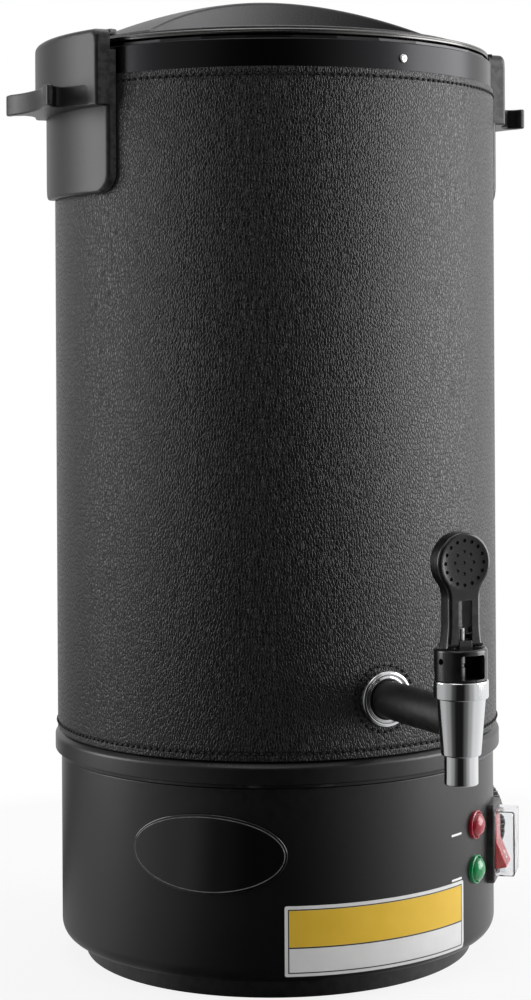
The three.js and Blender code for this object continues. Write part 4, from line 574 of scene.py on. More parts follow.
def cap(bm, outline, depth, spacing, place):
    """Fill a flat outline with triangles, with inner points so that it can bend."""
    points = list(outline)
    if spacing:
        lows = [min(p[k] for p in outline) for k in (0, 1)]
        highs = [max(p[k] for p in outline) for k in (0, 1)]
        counts = [int((highs[k] - lows[k]) / spacing) for k in (0, 1)]
        for i in range(1, counts[0]):
            for j in range(1, counts[1]):
                point = (lows[0] + (highs[0] - lows[0]) * i / counts[0],
                         lows[1] + (highs[1] - lows[1]) * j / counts[1])
                near = min((point[0] - x) ** 2 + (point[1] - y) ** 2 for x, y in outline)
                if near > (spacing * 0.4) ** 2 and inside(point, outline):
                    points.append(point)
    edges = [(i, (i + 1) % len(outline)) for i in range(len(outline))]
    made = delaunay_2d_cdt([Vector(p) for p in points], edges, [], 1, 1e-5)
    corners = [bm.verts.new(place(v.x, v.y, depth)) for v in made[0]]
    for face in made[2]:
        bm.faces.new([corners[k] for k in face])


def plate(outline, back, front, edge, place, spacing=0.0, back_edge=0.0, steps=4, hold=0.0):
    """A plate from an outline in (u, v), running counter-clockwise, with rounded front and back edges.

    hold adds a row that far inside the front edge, which keeps the shading of a bent face even.
    """
    bm = bmesh.new()
    if spacing:
        outline = shared_out(outline, spacing)
    count = len(outline)
    inward = []
    for i in range(count):
        along = (Vector(outline[(i + 1) % count]) - Vector(outline[i - 1])).normalized()
        inward.append((-along.y, along.x))
    radius = edge if callable(edge) else lambda u, v: edge

    def row(share_in, offset, base, size, extra=0.0):
        line = []
        for (u, v), (nu, nv) in zip(outline, inward):
            r = size(u, v)
            step = r * share_in + extra
            line.append((u + nu * step, v + nv * step, base + r * offset))
        return line

    rows = []
    if back_edge:
        for k in range(steps, 0, -1):
            a = math.radians(90.0 * k / steps)
            rows.append(row(1 - math.cos(a), 1 - math.sin(a), back, lambda u, v: back_edge))
    rows.append(row(0.0, 1.0 if back_edge else 0.0, back, lambda u, v: back_edge or 1.0))
    for k in range(steps + 1):
        a = math.radians(90.0 * k / steps)
        rows.append(row(1 - math.cos(a), math.sin(a) - 1, front, radius))
    if hold:
        rows.append(row(1.0, 0.0, front, radius, hold))
    rings = [[bm.verts.new(place(*p)) for p in line] for line in rows]
    for lower, upper in zip(rings, rings[1:]):
        for i in range(count):
            after = (i + 1) % count
            bm.faces.new([lower[i], lower[after], upper[after], upper[i]])
    for line, depth in ((rows[0], back), (rows[-1], front)):
        cap(bm, [(u, v) for u, v, d in line], depth, spacing, place)
    return tidy(bm)


def tidy(bm):
    """Merge doubles and point every face outwards."""
    bmesh.ops.remove_doubles(bm, verts=bm.verts, dist=2e-4)
    bmesh.ops.dissolve_degenerate(bm, edges=bm.edges, dist=1e-5)
    bmesh.ops.recalc_face_normals(bm, faces=bm.faces)
    return bm


def tube_along(path, radius, sides):
    """A round wire along a closed line of points."""
    bm = bmesh.new()
    turns = [TAU * k / sides for k in range(sides)]
    rings = []
    for i, point in enumerate(path):
        along = (Vector(path[(i + 1) % len(path)]) - Vector(path[i - 1])).normalized()
        side = along.cross(Vector((0, 0, 1)) if abs(along.z) < 0.9 else Vector((1, 0, 0))).normalized()
        up = side.cross(along)
        spokes = [radius * (side * math.cos(a) + up * math.sin(a)) for a in turns]
        rings.append([bm.verts.new(Vector(point) + spoke) for spoke in spokes])
    for i, ring in enumerate(rings):
        other = rings[(i + 1) % len(rings)]
        for k in range(sides):
            after = (k + 1) % sides
            bm.faces.new([ring[k], ring[after], other[after], other[k]])
    return tidy(bm)


def new_object(name, data):
    made = bpy.data.objects.new(name, data)
    bpy.context.scene.collection.objects.link(made)
    return made


def scratch_object(bm):
    mesh = bpy.data.meshes.new("scratch")
    bm.to_mesh(mesh)
    return new_object("scratch", mesh)


def evaluated_mesh(made):
    depsgraph = bpy.context.evaluated_depsgraph_get()
    return bpy.data.meshes.new_from_object(made.evaluated_get(depsgraph), preserve_all_data_layers=True,
                                           depsgraph=depsgraph)


def drop(*objects):
    for made in objects:
        mesh = made.data
        bpy.data.objects.remove(made)
        bpy.data.meshes.remove(mesh)


def taken_up(mesh):
    """Read a mesh that is not needed any more."""
    result = bmesh.new()
    result.from_mesh(mesh)
    bpy.data.meshes.remove(mesh)
    return result


def combine(first, second, operation):
    """Join, cut or intersect two closed shapes."""
    body, tool = scratch_object(tidy(first)), scratch_object(tidy(second))
    work = body.modifiers.new("combine", "BOOLEAN")
    work.object = tool
    work.operation = operation
    work.solver = "EXACT"
    result = taken_up(evaluated_mesh(body))
    drop(body, tool)
    bmesh.ops.dissolve_degenerate(result, edges=result.edges, dist=1e-4)
    return result


def moved(bm, matrix):
    bmesh.ops.transform(bm, matrix=matrix, verts=bm.verts)
    return bm


def mapped(bm, place):
    """Give faces a surface map in metres; place gives its two lengths from an angle and a point."""
    layer = bm.loops.layers.uv.new("surface")
    for face in bm.faces:
        middle = face.calc_center_median()
        around = math.atan2(middle.x, -middle.y)
        for loop in face.loops:
            co = loop.vert.co
            angle = math.atan2(co.x, -co.y) if co.xy.length > 1e-6 else around
            while angle - around > math.pi:
                angle -= TAU
            while around - angle > math.pi:
                angle += TAU
            loop[layer].uv = [value * MM for value in place(angle, co)]
    return bm


def surface_map(bm, radius):
    """A map of arc length from the tap's side, and height."""
    return mapped(bm, lambda angle, co: (angle * radius, co.z))


def turned_map(bm):
    """A map for turned metal: arc length at one radius, and distance from the axis."""
    return mapped(bm, lambda angle, co: (angle * TURNED_MAP_RADIUS, co.xy.length + co.z))


def even_shading(mesh):
    """Weigh the shading by the size of the faces, so that walls stay flat beside their rounded edges."""
    made = new_object("scratch", mesh)
    work = made.modifiers.new("weigh", "WEIGHTED_NORMAL")
    work.keep_sharp = True
    result = evaluated_mesh(made)
    drop(made)
    return result


def finish_mesh(name, mesh, material, replaced=(), body="pot", slot=None, sharp=32.0):
    """Make a mesh in millimetres a finished piece with its material; slot is not used."""
    mesh.transform(Matrix.Scale(MM, 4))
    if not mesh.materials:
        mesh.materials.append(finishes[material])
    for polygon in mesh.polygons:
        polygon.use_smooth = True
    mesh.set_sharp_from_angle(angle=math.radians(sharp))
    mesh = even_shading(mesh)
    mesh.name = name
    piece = new_object(name, mesh)
    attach(piece, body)
    if replaced:
        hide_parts(*replaced)


def finish_piece(name, bm, material, *replaced, **settings):
    """Make a shape a finished piece; replaced are the CAD nodes whose place it takes."""
    mesh = bpy.data.meshes.new(name)
    tidy(bm)
    bm.to_mesh(mesh)
    bm.free()
    finish_mesh(name, mesh, material, replaced, **settings)


def dress_nodes(material, *names):
    """Give CAD nodes that stay a finished material."""
    for name in names:
        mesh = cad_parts[name].data
        mesh.materials.clear()
        mesh.materials.append(finishes[material])


def turned(axis, degrees):
    return Matrix.Rotation(math.radians(degrees), 4, axis)


def at_angle(angle, height=0.0):
    """Frame of a control on the base: X across, -Y outwards, Z up."""
    return Matrix.Translation((0, 0, height)) @ turned("Z", angle)


OUTWARD = turned("X", 90)
UPRIGHT = Matrix.Translation((0, -TAP_REACH, 0))


def flat_face(u, v, depth):
    """A plate that faces outwards along -Y."""
    return (u, -depth, v)


def level_face(u, v, depth):
    """A plate that lies level, its front upwards."""
    return (u, v, depth)


def on_base(u, v, depth):
    """A plate bent round the base, following its rounded lower edge."""
    low = BASE_BOTTOM + BASE_ROUND_HEIGHT - v
    sink = 0.0
    if low > 0:
        sink = BASE_ROUND_WIDTH * (1 - math.sqrt(max(0.0, 1 - (low / BASE_ROUND_HEIGHT) ** 2)))
    angle = u / BASE_RADIUS
    return ((depth - sink) * math.sin(angle), -(depth - sink) * math.cos(angle), v)


# Geometry Nodes

def new_tree(name, inputs):
    """A geometry tree with named inputs (name, kind, default), its own geometry first."""
    given = [("Geometry", GEOMETRY, None), *inputs, ("Material", "NodeSocketMaterial", None)]
    return new_group(name, given, [("Geometry", GEOMETRY)], "GeometryNodeTree")


def end_tree(tree, given, result, geometry):
    """Realize the instances and set the material, as the export needs."""
    real = put(tree, "GeometryNodeRealizeInstances", {"Geometry": geometry}).outputs[0]
    dressed = put(tree, "GeometryNodeSetMaterial", {"Geometry": real, "Material": given["Material"]})
    tree.links.new(dressed.outputs[0], result["Geometry"])


def drawn_ball(tree, segments, rings, radius, length, lift=0.0):
    """A ball of one radius, drawn out along Z to a length and lifted."""
    ball = put(tree, "GeometryNodeMeshUVSphere", {"Segments": segments, "Rings": rings, "Radius": 1.0})
    half = maths(tree, "MULTIPLY", length, 0.5)
    size = put(tree, "ShaderNodeCombineXYZ", {0: radius, 1: radius, 2: half})
    rise = put(tree, "ShaderNodeCombineXYZ", {2: lift})
    return put(tree, "GeometryNodeTransform", {
        "Geometry": ball.outputs[0], "Scale": size.outputs[0], "Translation": rise.outputs[0]}).outputs[0]


def on_ring(tree, count, radius, instance):
    """Copies of a shape on a ring of points."""
    ring = put(tree, "GeometryNodeMeshCircle", {"Vertices": count, "Radius": radius}).outputs[0]
    return put(tree, "GeometryNodeInstanceOnPoints", {"Points": ring, "Instance": instance}).outputs[0]


def stitch_row_tree():
    """Stitches of one length and pitch along a line of edges."""
    tree, given, result = new_tree("stitch_row", [
        ("Pitch", FLOAT, 3.7), ("Stitch Length", FLOAT, 2.2), ("Thread Radius", FLOAT, 0.42)])
    line = put(tree, "GeometryNodeMeshToCurve", {"Mesh": given["Geometry"]}).outputs[0]
    places = put(tree, "GeometryNodeCurveToPoints", {"Curve": line, "Length": given["Pitch"]}, mode="LENGTH")
    thread = drawn_ball(tree, 8, 6, given["Thread Radius"], given["Stitch Length"])
    placed = put(tree, "GeometryNodeInstanceOnPoints", {
        "Points": places.outputs["Points"], "Instance": thread, "Rotation": places.outputs["Rotation"]})
    end_tree(tree, given, result, placed.outputs[0])


def ribs_round_tree():
    """Round ribs that stand on a ring, joined to the body they grip."""
    tree, given, result = new_tree("ribs_round", [
        ("Count", COUNT, 30), ("Ring Radius", FLOAT, 21.0), ("Rib Radius", FLOAT, 1.0),
        ("Rib Length", FLOAT, 10.0), ("Rib Middle", FLOAT, 6.0)])
    rib = drawn_ball(tree, 12, 12, given["Rib Radius"], given["Rib Length"], given["Rib Middle"])
    join = put(tree, "GeometryNodeJoinGeometry")
    tree.links.new(on_ring(tree, given["Count"], given["Ring Radius"], rib), join.inputs[0])
    tree.links.new(given["Geometry"], join.inputs[0])
    end_tree(tree, given, result, join.outputs[0])


def dimples_tree():
    """Round dimples on two rings and in the middle, sunk into a face that looks along +Z."""
    tree, given, result = new_tree("dimples", [
        ("Outer Count", COUNT, 16), ("Outer Radius", FLOAT, 10.7),
        ("Inner Count", COUNT, 8), ("Inner Radius", FLOAT, 5.5),
        ("Dimple Radius", FLOAT, 0.8), ("Face Height", FLOAT, 3.9)])
    ball = put(tree, "GeometryNodeMeshUVSphere", {
        "Segments": 12, "Rings": 8, "Radius": given["Dimple Radius"]}).outputs[0]
    lift = put(tree, "ShaderNodeCombineXYZ", {2: given["Face Height"]}).outputs[0]
    join = put(tree, "GeometryNodeJoinGeometry")
    for row in ("Outer", "Inner"):
        balls = on_ring(tree, given[f"{row} Count"], given[f"{row} Radius"], ball)
        tree.links.new(balls, join.inputs[0])
    tree.links.new(ball, join.inputs[0])
    raised = put(tree, "GeometryNodeTransform", {"Geometry": join.outputs[0], "Translation": lift}).outputs[0]
    tools = put(tree, "GeometryNodeRealizeInstances", {"Geometry": raised}).outputs[0]
    cut = put(tree, "GeometryNodeMeshBoolean", {"Mesh 1": given["Geometry"]}, operation="DIFFERENCE")
    tree.links.new(tools, cut.inputs["Mesh 2"])
    end_tree(tree, given, result, cut.outputs[0])


def copies_round_tree():
    """Copies of the piece itself on a ring, such as screws."""
    tree, given, result = new_tree("copies_round", [
        ("Count", COUNT, 4), ("Ring Radius", FLOAT, 92.0), ("Start", FLOAT, 0.785)])
    placed = on_ring(tree, given["Count"], given["Ring Radius"], given["Geometry"])
    spin = put(tree, "ShaderNodeCombineXYZ", {2: given["Start"]}).outputs[0]
    spun = put(tree, "GeometryNodeTransform", {"Geometry": placed, "Rotation": spin}).outputs[0]
    end_tree(tree, given, result, spun)


def grown(bm, tree_name, material, values):
    """Run a geometry tree on a shape and return the plain mesh it makes."""
    body = scratch_object(bm)
    work = body.modifiers.new("grow", "NODES")
    tree = bpy.data.node_groups[tree_name]
    work.node_group = tree
    for item in tree.interface.items_tree:
        if item.item_type != "SOCKET" or item.in_out != "INPUT":
            continue
        if item.name in values:
            work[item.identifier] = values[item.name]
        if item.name == "Material":
            work[item.identifier] = finishes[material]
    mesh = evaluated_mesh(body)
    drop(body)
    return mesh


def line_mesh(points):
    """A closed line of edges for a geometry tree to follow."""
    bm = bmesh.new()
    verts = [bm.verts.new(p) for p in points]
    for i, vert in enumerate(verts):
        bm.edges.new((vert, verts[(i + 1) % len(verts)]))
    return bm


# Pieces

def make_base():
    """The control base, its collar bead and the cover it stands on."""
    finish_piece("control_base", lathe(base_profile(), ROUND), "base_plastic", "base_shell")
    collar = rounded([
        (109.8, 100.5), (112.6, 100.5), (112.6, COLLAR_BOTTOM), (116.6, COLLAR_BOTTOM, 0.3),
        (117.6, COLLAR_BOTTOM + 1.6, 0.4), (COLLAR_RADIUS, COLLAR_BOTTOM + 2.2, 0.8),
        (COLLAR_RADIUS, COLLAR_TOP - 2.6, 2.0), (116.2, COLLAR_TOP - 0.2, 0.6), (115.3, COLLAR_TOP),
        (115.3, 124.2), (112.3, 124.2), (112.3, 118.7), (109.8, COLLAR_BOTTOM)])
    finish_piece("collar_bead", lathe(collar, ROUND), "base_plastic", "base_collar")

    foot = lathe(rounded([(0, 0), (FOOT_RADIUS, 0, 1.2), (FOOT_RADIUS, FOOT_TOP, 0.4), (100.4, FOOT_TOP, 0.3),
                          (100.4, 2.5, 1.0), (0, 2.5)], closed=False), ROUND)
    for k in range(COVER_SCREW_COUNT):
        angle = TAU * (k + 0.5) / COVER_SCREW_COUNT
        here = Matrix.Translation((COVER_SCREW_RING * math.cos(angle), COVER_SCREW_RING * math.sin(angle), 0))
        foot = combine(foot, moved(rod(6.9, 0.5, FOOT_TOP, BOSS_ROUND), here), "UNION")
        foot = combine(foot, moved(rod(4.3, -6, 4.7, BOSS_ROUND), here), "DIFFERENCE")
    finish_piece("foot_cover", foot, "handle_plastic", "bottom_cover")

    head = lathe(rounded([(0, 2.0), (4.0, 2.0, 0.7), (4.0, 4.4), (2.0, 4.4), (2.0, 18.6, 0.4), (0, 18.6)],
                         closed=False), BOSS_ROUND)
    for degrees in (0, 90):
        slot = plate(rounded_rectangle(4.6, 0.9, 0.2, 2), 0.0, 3.1, 0.1, level_face)
        head = combine(head, moved(slot, turned("Z", degrees)), "DIFFERENCE")
    screws = grown(head, "copies_round", "pot_steel", {
        "Count": COVER_SCREW_COUNT, "Ring Radius": COVER_SCREW_RING, "Start": math.radians(45)})
    finish_mesh("cover_screws", screws, "pot_steel",
                [f"bottom_screw_{k + 1}" for k in range(COVER_SCREW_COUNT)])


def base_profile():
    """Half a section of the control base, with its rounded lower edge."""
    inner = BASE_RADIUS - BASE_WALL
    bottom_curve = [
        (BASE_RADIUS - BASE_ROUND_WIDTH + BASE_ROUND_WIDTH * math.sin(math.radians(a)),
         BASE_BOTTOM + BASE_ROUND_HEIGHT - BASE_ROUND_HEIGHT * math.cos(math.radians(a)))
        for a in range(0, 91, 10)
    ]
    top = rounded([(BASE_RADIUS, 60.0), (BASE_RADIUS, BASE_TOP, 0.8), (inner, BASE_TOP, 0.4), (inner, 60.0)],
                  closed=False)
    return [(BASE_OPENING, BASE_BOTTOM), *bottom_curve, *top, (inner, BASE_BOTTOM + BASE_ROUND_HEIGHT),
            (BASE_RADIUS - BASE_ROUND_WIDTH, BASE_BOTTOM + BASE_WALL),
            (BASE_OPENING, BASE_BOTTOM + BASE_WALL)]


def hem_dip(height, row, depth):
    """How far the wrap is drawn in by a row of stitches."""
    return depth * math.exp(-((height - row) / 0.8) ** 2)


def make_jacket(settings):
    """The leatherette wrap, the steel shell with its band, and the band's rivet."""
    rows = (WRAP_BOTTOM + settings.hem, WRAP_TOP - settings.hem)
    heights = [WRAP_BOTTOM + 0.6 + 0.7 * k for k in range(12)]
    heights += [WRAP_BOTTOM + 12 + (WRAP_TOP - WRAP_BOTTOM - 24) * k / 20 for k in range(21)]
    heights += [WRAP_TOP - 0.6 - 0.7 * k for k in range(11, -1, -1)]
    inner = WRAP_RADIUS - WRAP_THICKNESS
    outside = [(WRAP_RADIUS - sum(hem_dip(h, row, HEM_DEPTH) for row in rows), h) for h in heights]
    ends = [(inner, WRAP_BOTTOM), (WRAP_RADIUS - 0.4, WRAP_BOTTOM), (WRAP_RADIUS - 0.1, WRAP_BOTTOM + 0.2)]
    tops = [(WRAP_RADIUS - 0.1, WRAP_TOP - 0.2), (WRAP_RADIUS - 0.4, WRAP_TOP), (inner, WRAP_TOP)]
    wrap = lathe([*ends, *outside, *tops], ROUND, start=math.pi / 2)
    finish_piece("leather_wrap", surface_map(tidy(wrap), WRAP_RADIUS), "leatherette", "leatherette_wrap")

    lip = SHELL_RADIUS - SHELL_LIP
    shell = rounded([
        (115.6, WRAP_BOTTOM), (SHELL_RADIUS, WRAP_BOTTOM), (SHELL_RADIUS, WRAP_TOP - 2),
        (SHELL_RADIUS, WRAP_TOP + 2), (SHELL_RADIUS, SHELL_TOP, 0.7), (lip, SHELL_TOP, 0.3),
        (lip, SHELL_TOP - 0.8), (115.6, SHELL_TOP - 0.8, 0.2)])
    shell = tidy(lathe(shell, ROUND, start=math.pi / 2))
    finish_piece("steel_band", surface_map(shell, SHELL_RADIUS), "band_steel", "outer_shell")

    rivet = lathe(rounded([(0, 115.0), (1.5, 115.0), (1.5, 116.6), (2.2, 116.7, 0.1), (2.0, 117.2, 0.3),
                           (1.0, 117.45, 0.5), (0, 117.2)], closed=False), PIN_ROUND)
    place = at_angle(6.3, 462.6) @ OUTWARD
    finish_piece("band_rivet_head", moved(rivet, place), "chrome", "band_rivet", slot="pot_steel")


def make_stitches(settings):
    """Rows of stitches round the wrap's two hems and round the tap's hole, by Geometry Nodes."""
    values = {"Pitch": settings.stitch_pitch, "Stitch Length": settings.stitch_length,
              "Thread Radius": settings.thread_radius}
    radius = WRAP_RADIUS
    rows = []
    for name, height in (("upper_stitches", WRAP_TOP - settings.hem),
                         ("lower_stitches", WRAP_BOTTOM + settings.hem)):
        rows.append((name, [(radius * math.sin(TAU * k / ROUND), -radius * math.cos(TAU * k / ROUND), height)
                            for k in range(ROUND)]))
    reach, count = settings.hole_stitch_radius, 72
    ring = []
    for k in range(count):
        x, z = reach * math.cos(TAU * k / count), reach * math.sin(TAU * k / count)
        ring.append((x, -math.sqrt(radius ** 2 - x ** 2), TAP_HEIGHT + z))
    rows.append(("hole_stitches", ring))
    for name, ring in rows:
        mesh = grown(line_mesh(ring), "stitch_row", "thread", values)
        finish_mesh(name, mesh, "thread", slot="leatherette", sharp=60)


def on_jacket(u, v, depth):
    """A plate of a side handle, bent round the pot about +X."""
    return (math.sqrt(depth ** 2 - u ** 2), u, v)


def handle_shape():
    """One side handle, centred on +X."""
    width = HANDLE_HALF_WIDTH
    seat = WRAP_RADIUS + FIT
    upper_outline = rounded([(-width, EAR_BOTTOM, 1.5), (width, EAR_BOTTOM, 1.5),
                             (width, HANDLE_TOP, 4.0), (-width, HANDLE_TOP, 4.0)], 6)
    narrow, low_top = width - 0.03, EAR_BOTTOM + 3.0
    lower_outline = rounded([(-narrow, HANDLE_BOTTOM, 10.0), (narrow, HANDLE_BOTTOM, 10.0),
                             (narrow, low_top), (-narrow, low_top)], 8)
    top_edge = lambda u, v: 1.3 + 1.5 * max(0.0, min(1.0, (v - HANDLE_TOP + 6.0) / 5.0))
    upper = plate(upper_outline, seat, HANDLE_UPPER_RADIUS, top_edge, on_jacket, 4.0, hold=0.8)
    lower = plate(lower_outline, seat + 0.03, HANDLE_PLATE_RADIUS, 1.6, on_jacket, 4.0, hold=0.8)
    shape = combine(lower, upper, "UNION")
    hook = lathe([(HANDLE_HOOK_RADIUS, NOTCH_TOP), (seat + 2, NOTCH_TOP), (seat + 2, HANDLE_TOP - 0.02),
                  (HANDLE_HOOK_RADIUS + 0.6, HANDLE_TOP - 0.02), (HANDLE_HOOK_RADIUS, HANDLE_TOP - 0.6)],
                 BOSS_ROUND, sweep=math.radians(41), start=math.radians(-20.5))
    shape = combine(shape, hook, "UNION")

    waist, root, tip = 23.5, HANDLE_HALF_WIDTH - 0.4, 30.0
    inner, slim, parts = 120.0, 134.0, 16
    flare = [(117.0, -root)]
    for k in range(parts + 1):
        share = k / parts
        flare.append((inner + (slim - inner) * share, -waist - (root - waist) * (1 - share) ** 2.0))
    side = rounded([*flare, (EAR_REACH - 4.2, -waist - 2.6, 1.6), (EAR_REACH - 3.2, -tip, 1.2),
                    (EAR_REACH, -tip, 1.4), (EAR_REACH, -tip + 6.0)], 5, closed=False)
    hollow = [(EAR_REACH - 4.0 * (1 - (v / 25.0) ** 2), v) for v in range(-20, 21, 4)]
    outline = [*side, *hollow, *[(x, -y) for x, y in reversed(side)]]
    ear = plate(outline, EAR_BOTTOM + 0.05, EAR_TOP, 1.0, level_face, back_edge=1.0)
    shape = combine(shape, ear, "UNION")

    notch = lathe([(110.0, NOTCH_BOTTOM), (NOTCH_RADIUS, NOTCH_BOTTOM), (NOTCH_RADIUS, NOTCH_TOP),
                   (110.0, NOTCH_TOP)], 40, sweep=math.radians(58), start=math.radians(-8))
    return combine(shape, notch, "DIFFERENCE")


def make_handles():
    """The two side handles, alike but turned half round."""
    for name, node, degrees in (("right_handle", "handle_right", 0.0), ("left_handle", "handle_left", 180.0)):
        shape = moved(handle_shape(), turned("Z", degrees))
        finish_piece(name, shape, "handle_plastic", node, sharp=28)


def crown_height(x, y):
    fall = (LID_CROWN_TOP - LID_CROWN_EDGE) / LID_COVER_RADIUS ** 2
    return LID_CROWN_TOP - fall * (x * x + y * y)


def lid_column(x, rim):
    """Half a section of the lid's cover at one place along its grip: (y, z) from the middle outwards."""
    edge = math.sqrt(max(0.0, rim ** 2 - x ** 2))
    centre = LID_GRIP_HALF_WIDTH + LID_GRIP_SIDE_RADIUS
    wall = centre - math.sqrt(LID_GRIP_SIDE_RADIUS ** 2 - x ** 2)
    wall = min(wall, edge)
    height = crown_height(x, wall) - LID_COVER_TOP
    soft = min(1.8, 0.45 * height, 0.45 * wall)
    foot = min(1.6, 0.45 * (edge - wall))
    foot_rise = min(1.6, 0.4 * height)
    line = [((wall - soft) * k / 14, crown_height(x, (wall - soft) * k / 14)) for k in range(14)]
    top = crown_height(x, wall - soft)
    quarter = [math.radians(90 * k / 5) for k in range(6)]
    line += [(wall - soft + soft * math.sin(a), top - soft + soft * math.cos(a)) for a in quarter]
    low = LID_COVER_TOP + foot_rise
    start = top - soft
    line += [(wall, start + (low - start) * k / 4) for k in range(1, 4)]
    line += [(wall + foot - foot * math.cos(a), low - foot_rise * math.sin(a)) for a in quarter]
    line += [(wall + foot + (edge - wall - foot) * k / 6, LID_COVER_TOP) for k in range(1, 7)]
    return line


def lid_cover_shape():
    """The lid's plastic cover: a flat disc and an arched grip bar with hollow sides."""
    soft = 1.0
    rim = LID_COVER_RADIUS - soft
    centre = LID_GRIP_HALF_WIDTH + LID_GRIP_SIDE_RADIUS
    meet_y = (centre ** 2 + rim ** 2 - LID_GRIP_SIDE_RADIUS ** 2) / (2 * centre)
    meet = math.atan2(meet_y, math.sqrt(rim ** 2 - meet_y ** 2))
    ends = [rim * math.cos(meet * k / 14) for k in range(15)]
    middle = [ends[-1] * (1 - 2 * k / 72) for k in range(1, 72)]
    stations = [*ends, *middle, *[-x for x in reversed(ends)]]
    bm = bmesh.new()
    columns = []
    for x in stations:
        half = lid_column(x, rim)
        points = [(-y, z) for y, z in reversed(half[1:])] + half
        columns.append([bm.verts.new((x, y, z)) for y, z in points])
    for left, right in zip(columns, columns[1:]):
        for k in range(len(left) - 1):
            bm.faces.new([left[k], left[k + 1], right[k + 1], right[k]])
    ring = [column[-1].co.copy() for column in columns]
    ring += [column[0].co.copy() for column in reversed(columns[1:-1])]
    levels = [(rim + soft * math.sin(math.radians(a)), LID_COVER_TOP - soft * (1 - math.cos(math.radians(a))))
              for a in range(0, 91, 18)]
    levels.append((LID_COVER_RADIUS, LID_COVER_BOTTOM + 0.2))
    levels.append((LID_COVER_RADIUS - 0.2, LID_COVER_BOTTOM))
    loops = []
    for radius, height in levels:
        loops.append([bm.verts.new((p.x / rim * radius, p.y / rim * radius, height)) for p in ring])
    for lower, upper in zip(loops, loops[1:]):
        for k in range(len(ring)):
            after = (k + 1) % len(ring)
            bm.faces.new([lower[k], lower[after], upper[after], upper[k]])
    bm.faces.new(loops[-1])
    return tidy(bm)


def make_lid():
    """The lid: its plastic cover and the steel disc with its rolled edge and lugs."""
    finish_piece("lid_top", lid_cover_shape(), "lid_plastic", "lid_cover", body="lid", sharp=50)
    edge = LID_EDGE_RADIUS
    disc = lathe(rounded([
        (0, 474.6), (110.0, 474.6), (110.0, 473.0, 0.3), (edge - 0.2, 473.0, 0.5), (edge, 474.0, 0.3),
        (edge - 0.5, 474.25, 0.1), (edge, 474.5, 0.3), (edge - 0.3, 475.4, 0.6), (112.6, 475.4, 0.4),
        (112.0, 474.9, 0.3), (107.6, 474.9, 0.3), (107.0, LID_DISC_TOP, 0.3), (0, LID_DISC_TOP)],
        closed=False), ROUND)
    outline = rounded([(112.4, -10), (119.6, -10, 2.0), (119.6, 10, 2.0), (112.4, 10)], 5)
    for degrees in (180, 0):
        lug = plate(outline, 473.3, 475.1, 0.4, level_face, back_edge=0.4)
        disc = combine(disc, moved(lug, turned("Z", degrees)), "UNION")
    finish_piece("lid_plate", turned_map(tidy(disc)), "lid_steel", "lid_disc", body="lid", slot="pot_steel")
    dress_nodes("silicone", "lid_seal")
    dress_nodes("pot_steel", "lid_screw_1", "lid_screw_2")


